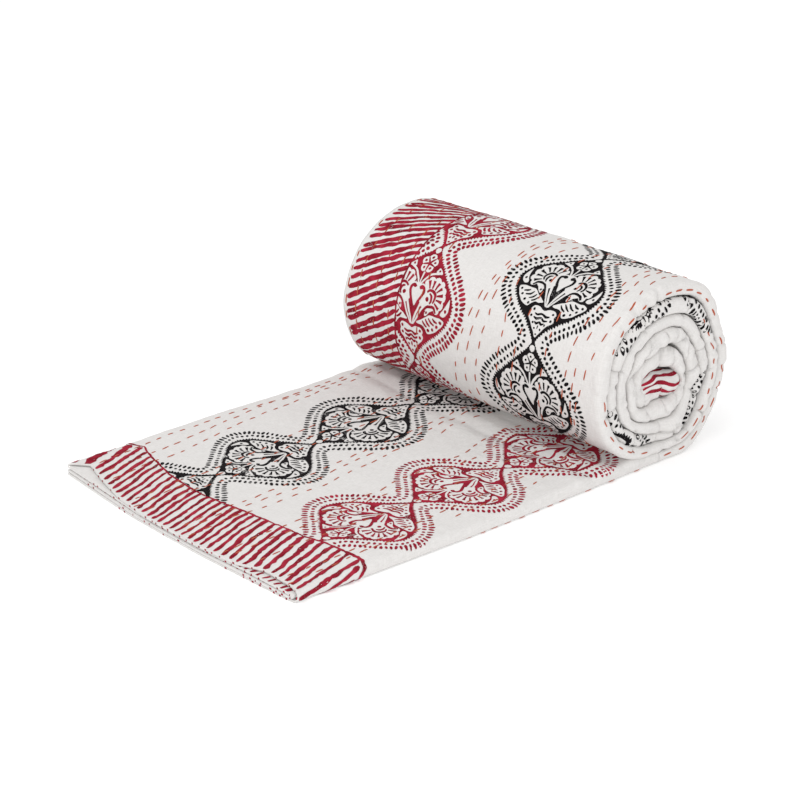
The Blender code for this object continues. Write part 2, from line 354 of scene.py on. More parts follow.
def roll_point(unwound, depth, along):
    """A point of the roll: depth is 0 on the packet's outer face and 1 on its inner face."""
    outer = np.where(
        unwound < 2 * math.pi,
        ROLL_RADIUS - TURN_STEP * np.clip((unwound - FLAT_ANGLE) / (2 * math.pi - FLAT_ANGLE), 0, 1),
        ROLL_RADIUS - TURN_STEP * unwound / (2 * math.pi),
    )
    radius = outer - depth * np.minimum(PACKET_THICKNESS, outer - CORE_GAP)
    heading = unwound - math.pi / 2
    follow = CORE_FOLLOWS + (1 - CORE_FOLLOWS) * radius / ROLL_RADIUS
    floor_share = 1 / np.maximum(-np.sin(heading), STEEP)
    share = np.minimum(1 + (outline_share(heading, along) - 1) * follow, floor_share)
    inward = np.maximum(0, ROLL_RADIUS - PACKET_THICKNESS - radius) / ROLL_RADIUS
    turn = unwound / (2 * math.pi)
    recess = np.interp(turn, *RECESS_COLUMNS)
    near = NEAR_Y + np.interp(turn, SLIP_COLUMNS[0], SLIP_COLUMNS[1]) + recess
    far = NEAR_Y + PACKET_WIDTH - np.interp(turn, SLIP_COLUMNS[0], SLIP_COLUMNS[2])
    flatter = smooth_step(1 - radius / CORE_FLAT_REACH)
    aside = radius * share * np.cos(heading) * (1 + CORE_WIDER * flatter)
    up = ROLL_SAG * radius * share * np.sin(heading) * (1 - CORE_LOWER * flatter)
    x = CENTRE_X + CORE_DRIFT * inward + aside
    y = near + (far - near) * along
    z = CENTRE_Z - CORE_SINK * inward + up
    return np.stack([x, y, z], -1) + crumple(x, y, z)


print("the roll has", round(LAST_ANGLE / 2 / math.pi, 2), "turns")

# %% [markdown]
# The tail's four layers lie on each other, pressed down at the near corner, and long low waves pass
# through all of them together, each a little higher in the upper layers. The cloth's other end lies in
# the middle of the roll, where it shows on the near face as one puffed fold. One function then gives the
# place of any point of the cloth, on the tail, in the roll or in that fold.

# %% Route along the tail, and the fold in the middle


def tail_point(across_y, level, across, onward):
    """A point of the flat tail: onward is 0 at its end and 1 where the roll starts."""
    side = across_y / PACKET_WIDTH
    out = np.interp(across, STAGGER_COLUMNS[0], STAGGER_COLUMNS[1])
    along = (-TAIL_LENGTH + TAIL_SKEW * side - out) * (1 - onward)
    corner = np.hypot(along + TAIL_LENGTH, across_y) / CORNER_REACH
    droop = FAR_DROOP * np.maximum(0, 1 - (PACKET_WIDTH - across_y) / FAR_DROOP_REACH)
    flatter = np.interp(side, *PRESS_COLUMNS) * (1 - smooth_step(onward * TAIL_LENGTH / END_PRESS_REACH))
    pressed = 1 - CORNER_PRESS * np.maximum(0, 1 - corner) - droop * (1 - onward ** 4) - flatter
    phase = 2 * math.pi * (WAVES_ONWARD * onward + WAVES_ACROSS * side)
    wave = TAIL_WAVE * np.sin(math.pi * onward) * np.sin(phase)
    height = CLOTH_THICKNESS / 2 + level * (LAYER_STEP * pressed + wave / 3)
    bow = NEAR_BOW * np.sin(math.pi * onward) * (1 - side)
    return np.stack([CENTRE_X + along, NEAR_Y + across_y - bow, height], -1)


PAD_START = CLOTH_LENGTH - 0.044
PAD_RADIUS = 0.0134
PAD_FRONT = NEAR_Y + 0.0005
PAD_X = 0.1970
PAD_Z = 0.0792
PAD_RISE = 0.02
PAD_HALF = 0.0245
PAD_THINNEST = 0.10
PAD_BLEND = 0.014
PAD_EDGE = 0.013
FOLD_REACH = 0.031


def pad_point(u, s):
    """The packet's last stretch lies flat in the middle of the roll, as one puffed fold."""
    off = LARGE_FOLD - u
    bend = np.clip(off / PAD_RADIUS, -math.pi / 2, math.pi / 2)
    straight = np.maximum(0, np.abs(off) - PAD_RADIUS * math.pi / 2)
    along = (PAD_START + CLOTH_LENGTH) / 2 - s
    fuller = np.sqrt(np.clip(1 - (along / PAD_HALF) ** 2, PAD_THINNEST, 1))
    x = PAD_X + along
    y = PAD_FRONT + PAD_RADIUS * (1 - np.cos(bend) * fuller) + straight
    z = PAD_Z - PAD_RADIUS * np.sin(bend) * (0.55 + 0.45 * fuller) + PAD_RISE * along
    return np.stack([x, y, z], -1)


def cloth_point(u, s):
    """Where the middle of the cloth lies, for arrays of u and s."""
    u, s = np.broadcast_arrays(u, s)
    across = u / CLOTH_WIDTH
    across_y = np.interp(across, route_share, route[:, 0])
    level = np.interp(across, route_share, route[:, 1])
    flat = tail_point(across_y, level, across, np.clip(s / TAIL_LENGTH, 0, 1))
    depth = (CLOTH_THICKNESS / 2 + level * LAYER_STEP) / (PACKET_THICKNESS * ROLL_SAG)
    rolled_up = roll_point(unwound_at(s), depth, across_y / PACKET_WIDTH)
    pad = pad_point(u, s)
    pad = pad + crumple(*np.moveaxis(pad, -1, 0))
    padded = smooth_step((s - PAD_START + PAD_BLEND) / PAD_BLEND)
    padded = padded * smooth_step((FOLD_REACH - np.abs(u - LARGE_FOLD)) / PAD_EDGE)
    rolled_up = rolled_up + (pad - rolled_up) * padded[..., None]
    return np.where((s < TAIL_LENGTH)[..., None], flat, rolled_up)


# %% [markdown]
# On top of the folded and rolled form comes what fingers and thread leave in real cloth: soft puckers on
# the faces that show, full puffed folds with small pinched creases on the roll's near face, and a
# crumpled core. All of it is a small height along the cloth's own normal, so neighbouring layers stay
# clear.

# %% Relief of the cloth
PUCKER = 0.00028
PUCKER_SIZES = ((0.011, 0.007), (0.008, 0.019))
SWELL = 0.00055
SWELL_SIZE = (0.047, 0.031)
END_CALM = 0.05
ROLL_RIDGES = (
    (0.372, 0.0011, 0.009), (0.391, -0.0015, 0.0050), (0.409, 0.0015, 0.0075), (0.434, -0.0011, 0.007),
    (0.452, 0.0020, 0.0085),
)
RIDGE_BEND, RIDGE_BEND_SIZE = 0.012, 0.11
RIDGE_CHANGE_SIZE = 0.07
FOLD_PUFF = 0.0014
PUFF_SIZE = (0.034, 0.03)
CREASE_DEPTH = 0.0021
CREASE_REACH = 0.0036
CREASE_LEAN = 0.25
CREASE_PLACES = np.random.default_rng(11).uniform(0.55, CLOTH_LENGTH, 58)
FOLD_BAND = 0.011
CORE_CRUMPLE = 0.0022
CORE_CRUMPLE_SIZE = (0.016, 0.009)
CORE_BAND = 0.016
CORE_START = 1.96
CORE_BLEND = 0.15
ROLL_BLEND = 0.03
OUTER_TURN = 0.6
HIDDEN_SHARE = 0.25


def relief(u, s):
    """Height of the cloth along its printed side's normal."""
    u, s = np.broadcast_arrays(u, s)
    on_top = (u > FAR_FOLD) & (u < LARGE_FOLD) & (s < TAIL_LENGTH)
    outside = (u > LARGE_FOLD) & (s > TAIL_LENGTH) & (s < TAIL_LENGTH + OUTER_TURN)
    shown = np.where(on_top | outside, 1.0, HIDDEN_SHARE)
    shown = shown * (1 - 0.5 * bell(s, END_CALM) * on_top)
    wide, long = (PUCKER * soft_noise(u, s, *size, seed) for size, seed in zip(PUCKER_SIZES, (1, 2)))
    puckers = wide + long
    swells = SWELL * soft_noise(CLOTH_WIDTH - u, s, *SWELL_SIZE, 3)
    height = shown * (puckers + swells)
    for place, rise, reach in ROLL_RIDGES:
        bent = s - place - RIDGE_BEND * soft_noise(u, 0, RIDGE_BEND_SIZE, 1, 6)
        change = 0.8 + 0.5 * soft_noise(u, 0, RIDGE_CHANGE_SIZE, 1, 7)
        height = height + on_top * rise * bell(bent, reach) * change
    rolled_part = np.clip((s - TAIL_LENGTH) / ROLL_BLEND, 0, 1)
    near_band = bell(u - LARGE_FOLD, FOLD_BAND)
    height = height + rolled_part * near_band * FOLD_PUFF * (soft_noise(s, u, *PUFF_SIZE, 4) + 0.3)
    for place in CREASE_PLACES:
        lean = CREASE_LEAN * math.sin(place * 97) * (u - LARGE_FOLD)
        pinch = bell(s - place - lean, CREASE_REACH) - 0.5 * bell(s - place - lean, 2 * CREASE_REACH)
        height = height - rolled_part * near_band * CREASE_DEPTH * pinch
    core = np.clip((s - CORE_START) / CORE_BLEND, 0, 1) * np.where(s > PAD_START - PAD_BLEND, 0.3, 1)
    core_band = bell(u - LARGE_FOLD, CORE_BAND)
    return height + core * core_band * CORE_CRUMPLE * soft_noise(s, u, *CORE_CRUMPLE_SIZE, 5)


# %% [markdown]
# The cloth is made as a flat grid with create_grid, and each vertex is then sent to its place. The grid
# is fine where the cloth shows and coarse where it is hidden between layers. Four pieces share the cloth,
# as one mesh would be too heavy: the tail, the turn that shows, the turns inside and the core. Their
# seams lie under the roll. The grid of places is kept, because the print and the stitches are laid on it
# later.

# %% Grid of the cloth
SHEET_THICKNESS = 0.0018
FINE = 0.0036
FOLD_FINE = 0.0019
HIDDEN = 0.06
SMALL_FOLD_SIDE = 0.008
FAR_FOLD_UNDER, FAR_FOLD_OVER = 0.014, 0.016
HEM = 0.012
HEM_FINE = 0.004
ROWS_FINE = 0.0030
FACE_FINE = 0.0015
FACE_ROWS = 0.0017
FIRST_SEAM = TAIL_LENGTH
SECOND_SEAM = 1.06
THIRD_SEAM = round(length_at(270, 1), 3)


def graded(start, *spans):
    """Positions from start on: each span is its end and its largest step."""
    places = [np.array([start])]
    for end, step in spans:
        count = max(1, math.ceil((end - start) / step))
        places.append(np.linspace(start, end, count + 1)[1:])
        start = end
    return np.concatenate(places)


def across_positions(top_step, bottom_step, fold_step=FOLD_FINE):
    """Positions across the cloth, with the given steps on the top run, the outer run and the near fold."""
    return graded(
        0, (HEM, HEM_FINE),
        (SMALL_FOLD - SMALL_FOLD_SIDE, HIDDEN), (SMALL_FOLD + SMALL_FOLD_SIDE, FOLD_FINE),
        (FAR_FOLD - FAR_FOLD_UNDER, HIDDEN), (FAR_FOLD + FAR_FOLD_OVER, FOLD_FINE),
        (LARGE_FOLD - FOLD_REACH, top_step), (LARGE_FOLD + FOLD_REACH, fold_step),
        (CLOTH_WIDTH - HEM, bottom_step), (CLOTH_WIDTH, HEM_FINE),
    )


def unit(vectors):
    """The same directions with a length of 1."""
    return vectors / np.maximum(np.linalg.norm(vectors, axis=-1, keepdims=True), 1e-12)


def printed_normals(points):
    """The direction that the printed side faces, at every point of a grid of places."""
    return unit(np.cross(np.gradient(points, axis=0), np.gradient(points, axis=1)))


cloth_grids = []


def lay_grid(us, ss):
    """Works out a grid of places and normals for one piece of the cloth, and keeps it."""
    points = cloth_point(us[:, None], ss[None, :])
    points = points + relief(us[:, None], ss[None, :])[..., None] * printed_normals(points)
    points[..., 2] = np.maximum(points[..., 2], SHEET_THICKNESS / 2 + 0.0001)
    grid = {"u": us, "s": ss, "points": points, "normals": printed_normals(points)}
    cloth_grids.append(grid)
    return grid


def finish_mesh(name, mesh, material):
    """Puts a mesh in the scene as a smooth shaded piece of the bedspread."""
    mesh.polygons.foreach_set("use_smooth", np.ones(len(mesh.polygons), bool))
    mesh.materials.append(material)
    mesh.update()
    piece = bpy.data.objects.new(name, mesh)
    bpy.context.collection.objects.link(piece)
    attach(piece, "root")
    return piece


def put_cloth_map(mesh, u, s):
    """Gives every corner of a mesh its place on the flat cloth, in metres, as its UV map."""
    corner_vertex = np.empty(len(mesh.loops), int)
    mesh.loops.foreach_get("vertex_index", corner_vertex)
    layer = mesh.uv_layers.new(name="cloth")
    layer.data.foreach_set("uv", np.stack([u[corner_vertex], s[corner_vertex]], 1).ravel())


def make_cloth(name, us, ss, material):
    """A piece of the cloth, closed by a thickness."""
    grid = lay_grid(us, ss)
    flat = bmesh.new()
    bmesh.ops.create_grid(flat, x_segments=len(us) - 1, y_segments=len(ss) - 1, size=0.5)
    mesh = bpy.data.meshes.new(name)
    flat.to_mesh(mesh)
    flat.free()
    places = np.empty(len(mesh.vertices) * 3)
    mesh.vertices.foreach_get("co", places)
    places = places.reshape(-1, 3)
    iu = np.rint((places[:, 0] + 0.5) * (len(us) - 1)).astype(int)
    js = np.rint((places[:, 1] + 0.5) * (len(ss) - 1)).astype(int)
    mesh.vertices.foreach_set("co", grid["points"][iu, js].ravel())
    put_cloth_map(mesh, us[iu], ss[js])
    piece = finish_mesh(name, mesh, material)
    wall = piece.modifiers.new("thickness", "SOLIDIFY")
    wall.thickness = SHEET_THICKNESS
    wall.offset = 0
    print(name, len(us), "x", len(ss), "places,", 4 * (len(us) - 1) * (len(ss) - 1), "triangles")
    return piece


# %% [markdown]
# Cotton of this kind is a plain weave of slightly uneven yarn. Close up it shows small slubs, and the
# quilting draws it into faint crinkles. One node group makes these heights and a soft change of tone, and
# both the bare cotton and the printed places use it, so that the weave runs on under the ink.

# %% Weave and crinkle group


def new_group(name, inputs, outputs):
    """An empty shader node group with named inputs and outputs, and its two end nodes."""
    group = bpy.data.node_groups.new(name, "ShaderNodeTree")
    for label, kind, value in inputs:
        socket = group.interface.new_socket(label, in_out="INPUT", socket_type=kind)
        if value is not None:
            socket.default_value = value
    for label, kind in outputs:
        group.interface.new_socket(label, in_out="OUTPUT", socket_type=kind)
    return group, group.nodes.new("NodeGroupInput"), group.nodes.new("NodeGroupOutput")


def node(tree, kind, settings=None, values=None, links=None):
    """Adds a node, sets its properties and socket values, and links sockets into it."""
    made = tree.nodes.new(kind)
    for key, value in (settings or {}).items():
        setattr(made, key, value)
    for key, value in (values or {}).items():
        made.inputs[key].default_value = value
    for key, source in (links or {}).items():
        tree.links.new(source, made.inputs[key])
    return made


def stretched(tree, place, across, along):
    """A place on the cloth, scaled by different amounts across it and along it."""
    scale = {"Scale": (across, along, 1)}
    return node(tree, "ShaderNodeMapping", values=scale, links={"Vector": place}).outputs[0]


def noise(tree, place, **values):
    """Soft random values from 0 to 1 over a place."""
    return node(tree, "ShaderNodeTexNoise", values=values, links={"Vector": place}).outputs[0]


def summed(tree, first, second):
    """The sum of two sockets."""
    return node(tree, "ShaderNodeMath", {"operation": "ADD"}, links={0: first, 1: second}).outputs[0]


YARN_HEIGHT = 0.16
YARN_FINE, YARN_LONG = 900, 130
CRINKLE_ACROSS, CRINKLE_ALONG = 125, 62
weave_group, inside, outside_node = new_group(
    "woven_cotton",
    [("Place", "NodeSocketVector", None), ("Crinkle", "NodeSocketFloat", 0.5)],
    [("Height", "NodeSocketFloat"), ("Tone", "NodeSocketFloat")],
)
place = inside.outputs["Place"]
warp, weft = (
    noise(weave_group, stretched(weave_group, place, across, along), Scale=1, Detail=2)
    for across, along in ((YARN_FINE, YARN_LONG), (YARN_LONG, YARN_FINE))
)
crinkle = noise(weave_group, stretched(weave_group, place, CRINKLE_ACROSS, CRINKLE_ALONG),
                Scale=1, Detail=3, Roughness=0.45)
yarn = summed(weave_group, warp, weft)
yarn_height = node(weave_group, "ShaderNodeMath", {"operation": "MULTIPLY"}, {1: YARN_HEIGHT}, {0: yarn})
crinkle_height = node(weave_group, "ShaderNodeMath", {"operation": "MULTIPLY"},
                      links={0: crinkle, 1: inside.outputs["Crinkle"]})
height = summed(weave_group, yarn_height.outputs[0], crinkle_height.outputs[0])
weave_group.links.new(height, outside_node.inputs["Height"])
weave_group.links.new(yarn, outside_node.inputs["Tone"])
print("node group", weave_group.name)

# %% [markdown]
# The bare cotton is off-white. Its colour drifts a little between yarns, as unbleached cotton does.
# Cotton isn't shiny, but loose fibres catch light at the edges, which a little sheen gives.

# %% Cotton
COTTON_LIGHT = (0.735, 0.718, 0.704, 1)
COTTON_DARK = (0.652, 0.634, 0.617, 1)


def make_fabric(name, crinkle, bump_height, sheen=0.10, specular=0.12):
    """A fabric material up to its weave: returns it with its tree, shader, weave node and cloth map."""
    material = bpy.data.materials.new(name)
    material.use_nodes = True
    tree = material.node_tree
    shader = tree.nodes["Principled BSDF"]
    shader.inputs["Roughness"].default_value = 0.92
    shader.inputs["Sheen Weight"].default_value = sheen
    shader.inputs["Specular IOR Level"].default_value = specular
    place = node(tree, "ShaderNodeUVMap", {"uv_map": "cloth"})
    weave = node(tree, "ShaderNodeGroup", {"node_tree": weave_group}, {"Crinkle": crinkle},
                 {"Place": place.outputs[0]})
    bump = node(tree, "ShaderNodeBump", values={"Strength": 1.0, "Distance": bump_height},
                links={"Height": weave.outputs["Height"]})
    tree.links.new(bump.outputs[0], shader.inputs["Normal"])
    return material, tree, shader, weave, place


def mixed_colour(tree, factor, first, second):
    """A node that fades from one colour to another, each a colour or another node's socket."""
    mix = node(tree, "ShaderNodeMix", {"data_type": "RGBA"}, links={"Factor": factor})
    for label, colour in (("A", first), ("B", second)):
        if isinstance(colour, tuple):
            mix.inputs[label].default_value = colour
        else:
            tree.links.new(colour, mix.inputs[label])
    return mix.outputs["Result"]


cotton, tree, shader, weave, place = make_fabric("printed_cotton", 1.0, 0.0011)
yarn_tone = node(tree, "ShaderNodeMapRange", values={"From Min": 0.7, "From Max": 1.3},
                 links={"Value": weave.outputs["Tone"]})
tone = mixed_colour(tree, yarn_tone.outputs[0], COTTON_DARK, COTTON_LIGHT)
tree.links.new(tone, shader.inputs["Base Color"])
print("cotton ready")

# %% [markdown]
# Each piece of the cloth takes the place of the plain solid that the CAD has there, which is hidden.
# Together the four make the whole length.

# %% Four pieces of the cloth
tail_rows = graded(0, (FIRST_SEAM, ROWS_FINE))
turn_rows = graded(FIRST_SEAM, (SECOND_SEAM, ROWS_FINE))
inner_rows = graded(SECOND_SEAM, (THIRD_SEAM, FACE_ROWS))
core_rows = graded(THIRD_SEAM, (CLOTH_LENGTH, FACE_ROWS))
cloth_tail = make_cloth("cloth_tail", across_positions(FINE, HIDDEN), tail_rows, cotton)
cloth_turn = make_cloth("cloth_outer_turn", across_positions(HIDDEN, FINE), turn_rows, cotton)
face_columns = across_positions(HIDDEN, HIDDEN, FACE_FINE)
cloth_inner = make_cloth("cloth_inner_turns", face_columns, inner_rows, cotton)
cloth_core = make_cloth("cloth_core", face_columns, core_rows, cotton)
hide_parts("tail")
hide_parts("roll")
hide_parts("roll")
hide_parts("roll")
print("the core's piece starts at", THIRD_SEAM, "m")

# %% [markdown]
# The print is thin ink that lies on the cotton. To carry a flat drawing to the folded and rolled cloth,
# each of its points looks up the grid of places kept above, between the four nearest places, and is
# lifted by half the cloth's thickness and a hair more. Distances across are taken from the outer hem and
# called v.

# %% Laying things on the cloth
INK_LIFT = 0.00016
FOLD_LIFT = 0.00022
FOLD_V = CLOTH_WIDTH - LARGE_FOLD
FAR_V = CLOTH_WIDTH - FAR_FOLD


def carried(v, s, lift):
    """Places on the printed side of the cloth, lifted off its surface."""
    u = CLOTH_WIDTH - v
    places = np.zeros(u.shape + (3,))
    for index, grid in enumerate(cloth_grids):
        first = -1 if index == 0 else grid["s"][0]
        last = 9 if index == len(cloth_grids) - 1 else grid["s"][-1]
        mine = (s >= first) & (s < last)
        if not mine.any():
            continue
        i = np.clip(np.searchsorted(grid["u"], u[mine]) - 1, 0, len(grid["u"]) - 2)
        j = np.clip(np.searchsorted(grid["s"], s[mine]) - 1, 0, len(grid["s"]) - 2)
        a = ((u[mine] - grid["u"][i]) / (grid["u"][i + 1] - grid["u"][i]))[:, None]
        b = ((s[mine] - grid["s"][j]) / (grid["s"][j + 1] - grid["s"][j]))[:, None]
        point, normal = (
            (values[i, j] * (1 - b) + values[i, j + 1] * b) * (1 - a)
            + (values[i + 1, j] * (1 - b) + values[i + 1, j + 1] * b) * a
            for values in (grid["points"], grid["normals"])
        )
        places[mine] = point + unit(normal) * (SHEET_THICKNESS / 2 + lift[mine])[:, None]
    return places


# %% [markdown]
# A printing block is drawn here as a carver would cut it. The list starts with what takes ink, the rows
# of dashes and dots and a raised ground. Then come hollows that leave the cloth bare, and small raised
# details inside the hollows. Blender's delaunay_2d_cdt cuts all these outlines into one set of triangles
# and says which outlines hold each one, so a triangle is inked when the last outline that holds it is.

# %% Shapes for carving a block, in millimetres
INKED, BARE = True, False
CURVE_STEPS = 3


def disc(x, y, radius, sides=8):
    """A round shape."""
    angles = np.linspace(0, 2 * math.pi, sides, endpoint=False)
    return [np.stack([x + radius * np.cos(angles), y + radius * np.sin(angles)], 1)]


def petal(x, y, length, width, degrees, sides=8):
    """An oval with its long axis turned by degrees."""
    angles = np.linspace(0, 2 * math.pi, sides, endpoint=False)
    along, aside = length / 2 * np.cos(angles), width / 2 * np.sin(angles)
    turn = math.radians(degrees)
    return [np.stack([
        x + along * math.cos(turn) - aside * math.sin(turn),
        y + along * math.sin(turn) + aside * math.cos(turn),
    ], 1)]


def smooth_line(points, closed=False):
    """A smooth curve through the given points."""
    points = np.array(points, float)
    if closed:
        ringed = np.concatenate([points[-1:], points, points[:2]])
    else:
        ringed = np.concatenate([2 * points[:1] - points[1:2], points, 2 * points[-1:] - points[-2:-1]])
    curve = []
    for p0, p1, p2, p3 in zip(ringed, ringed[1:], ringed[2:], ringed[3:]):
        for t in np.arange(CURVE_STEPS) / CURVE_STEPS:
            curve.append(0.5 * (2 * p1 + (p2 - p0) * t + (2 * p0 - 5 * p1 + 4 * p2 - p3) * t ** 2
                                + (3 * p1 - p0 - 3 * p2 + p3) * t ** 3))
    if not closed:
        curve.append(points[-1])
    return np.array(curve)


def blob(*points):
    """A closed rounded shape through the given points."""
    return [smooth_line(points, closed=True)]


def grown(outlines, by):
    """Closed shapes with their edges moved out by a distance."""
    bigger = []
    for shape in outlines:
        x, y = shape.T
        turning = np.sign(np.sum(x * np.roll(y, -1) - y * np.roll(x, -1)))
        tangent = unit(np.roll(shape, -1, axis=0) - np.roll(shape, 1, axis=0))
        bigger.append(shape + by * turning * np.stack([tangent[:, 1], -tangent[:, 0]], 1))
    return bigger


def stroke(points, widths):
    """A line with a changing width, as a chain of four-sided shapes."""
    curve = smooth_line(points)
    widths = np.interp(np.linspace(0, 1, len(curve)), np.linspace(0, 1, len(widths)), widths) / 2
    tangent = unit(np.gradient(curve, axis=0))
    normal = np.stack([-tangent[:, 1], tangent[:, 0]], 1)
    left, right = curve + normal * widths[:, None], curve - normal * widths[:, None]
    return [np.array([left[i], right[i], right[i + 1], left[i + 1]]) for i in range(len(curve) - 1)]


def on_both_sides(outlines):
    """Shapes and their mirror images across the vine's middle."""
    return outlines + [outline * (1, -1) for outline in outlines]


def carve(carvings, spacing, inside_test):
    """Cuts a list of (outlines, inked) into triangles and keeps the inked ones."""
    points, outlines, inked = [], [], []
    for shapes, takes_ink in carvings:
        for shape in shapes:
            x, y = shape.T
            if np.sum(x * np.roll(y, -1) - y * np.roll(x, -1)) < 0:
                shape = shape[::-1]
            outlines.append(list(range(len(points), len(points) + len(shape))))
            points.extend(map(tuple, shape))
            inked.append(takes_ink)
    low, high = np.min(points, 0), np.max(points, 0)
    for row, y in enumerate(np.arange(low[1], high[1], spacing * 0.87)):
        for x in np.arange(low[0] + (row % 2) * spacing / 2, high[0], spacing):
            if inside_test(x, y):
                points.append((x, y))
    cut = delaunay_2d_cdt([Vector(p) for p in points], [], outlines, 1, 1e-6)
    kept = [face for face, holders in zip(cut[2], cut[5]) if holders and inked[max(holders)]]
    places = np.array([tuple(p) for p in cut[0]])
    used, faces = np.unique(np.array(kept), return_inverse=True)
    return places[used], faces.reshape(-1, 3)


# %% [markdown]
# The vine is the print's main figure: one medallion after another along the cloth, pinched to a neck
# where they meet. In each grows a plant: a small rosette, a pair of fans, a heart on its stems, a pair of
# striped leaves and a tulip that fills the next neck. A row of dots and a row of dashes run along both
# sides.

# %% The vine's block
REPEAT = 129.0
TOOTH = 2.7
TOOTH_STEP = 1.7
OUTLINE_LINE, DOT_LINE, DASH_LINE = 1, 2, 3
VINE_LINES = np.array((
    (0, 1.7, 12.4, 19.3), (6, 4.6, 14.2, 23.5), (12, 9.3, 18.5, 29.8), (18, 15.2, 24.2, 36.5),
    (24, 21.6, 31.0, 43.0), (30, 27.8, 38.0, 50.0), (36, 34.0, 45.0, 56.0), (42, 41.0, 51.0, 61.0),
    (48, 47.4, 56.2, 65.2), (54, 52.0, 60.0, 68.2), (60, 54.3, 62.2, 69.9), (66, 54.8, 63.1, 70.5),
    (72, 53.8, 62.5, 70.0), (78, 50.8, 60.4, 68.6), (84, 46.8, 57.4, 66.2), (90, 41.6, 53.2, 62.4),
    (96, 34.8, 47.6, 57.6), (102, 27.0, 40.2, 51.6), (108, 19.0, 31.6, 44.2), (114, 12.6, 23.4, 35.2),
    (120, 7.4, 17.2, 26.5), (124, 4.4, 14.2, 21.8), (129, 1.7, 12.4, 19.3),
))


def vine_line(column, pitch):
    """Evenly spaced points and headings on one of the vine's lines."""
    x, y = smooth_line(VINE_LINES[:, (0, column)]).T
    run = np.concatenate([[0], np.cumsum(np.hypot(np.diff(x), np.diff(y)))])
    count = round(run[-1] / pitch)
    stops = (np.arange(count) + 0.5) * run[-1] / count
    slope = np.gradient(y, x)
    heading = np.degrees(np.arctan(np.interp(stops, run, slope)))
    return np.interp(stops, run, x), np.interp(stops, run, y), heading


def medallion_outline():
    """The ground's outline, with small teeth along it."""
    x, y, heading = vine_line(OUTLINE_LINE, TOOTH_STEP)
    uneven = np.random.default_rng(31).uniform(0.45, 1.25, len(x))
    tooth = np.where(np.arange(len(x)) % 2, TOOTH * uneven, 0) * np.clip(y / 12, 0, 1)
    lean = np.radians(heading + 90)
    side = np.stack([x + tooth * np.cos(lean), y + tooth * np.sin(lean)], 1)
    neck = VINE_LINES[0, OUTLINE_LINE]
    ends = np.array([[-1.5, neck], [-1.5, -neck]])
    far_ends = np.array([[REPEAT + 1.5, -neck], [REPEAT + 1.5, neck]])
    return [np.concatenate([ends, side * (1, -1), far_ends, side[::-1]])]


block_cuts = []


def cut(takes_ink, *shapes, mirrored=True):
    """Adds shapes to the block, on both sides of the vine's middle unless told otherwise."""
    outlines = sum(shapes, [])
    block_cuts.append((on_both_sides(outlines) if mirrored else outlines, takes_ink))


def round_the(centre, radius, degrees):
    """The point at a distance and a heading from a centre."""
    angle = math.radians(degrees)
    return np.array(centre) + radius * np.array([math.cos(angle), math.sin(angle)])


DASH, DASH_PITCH, DASH_LONGER = (5.4, 3.4), 5.4, 2.0
DOT, DOT_PITCH = (4.7, 3.8), 5.9
carver = np.random.default_rng(32)
for x, y, heading in zip(*vine_line(DASH_LINE, DASH_PITCH)):
    length = (DASH[0] + DASH_LONGER * min(1, max(0, y - 20) / 40)) * carver.uniform(0.85, 1.12)
    width = DASH[1] * carver.uniform(0.8, 1.15)
    cut(INKED, petal(x, y, length, width, heading + 90 + carver.uniform(-12, 12)))
for x, y, heading in zip(*vine_line(DOT_LINE, DOT_PITCH)):
    length = DOT[0] * carver.uniform(0.8, 1.12)
    cut(INKED, petal(x, y, length, DOT[1] * carver.uniform(0.8, 1.1), heading + 90))
ground = medallion_outline()
block_cuts.append((ground, INKED))

ROSETTE = (23.5, 0)
cut(BARE, disc(7, 0, 3.7), mirrored=False)
for index in range(5):
    cut(BARE, disc(*round_the(ROSETTE, 6.5, 180 + 72 * index), 4.9, 10), mirrored=False)
cut(BARE, disc(*ROSETTE, 5.0), mirrored=False)
for index in range(5):
    spoke = [round_the(ROSETTE, reach, 144 + 72 * index) for reach in (0.4, 4.2, 7.8)]
    seed_dot = disc(*round_the(ROSETTE, 7.0, 180 + 72 * index), 1.3, 7)
    cut(INKED, stroke(spoke, (2.4, 1.8, 1.0)), seed_dot, mirrored=False)
cut(INKED, disc(*ROSETTE, 1.6, 7), mirrored=False)

FAN = (57.5, 20.5)
FAN_PETALS = (
    (51, 17.4, 4.4), (74, 18, 5.1), (98, 18, 5.1), (122, 18, 5.1), (146, 18, 5.1), (170, 18, 5.1),
    (194, 17.6, 5.0), (216, 16.8, 3.5),
)
for degrees, reach, radius in FAN_PETALS:
    cut(BARE, disc(*round_the(FAN, reach, degrees), radius, 10))
cut(BARE, disc(*FAN, 15.4, 20))
for degrees in (62, 86, 110, 134, 158, 182, 205):
    cut(INKED, stroke([round_the(FAN, reach, degrees) for reach in (9.6, 14, 18.2)], (1.2, 2.2, 3.4)))
cut(INKED, stroke([round_the(FAN, 7.3, degrees) for degrees in range(50, 240, 20)], (1.8, 3.0, 3.0, 2.2)))
cut(INKED, stroke([(54, 19.0), (56, 22.4), (60.5, 23.4), (64, 21.4)], (1.4, 2.8, 2.4, 1.2)),
    disc(60.5, 17.6, 2.1))

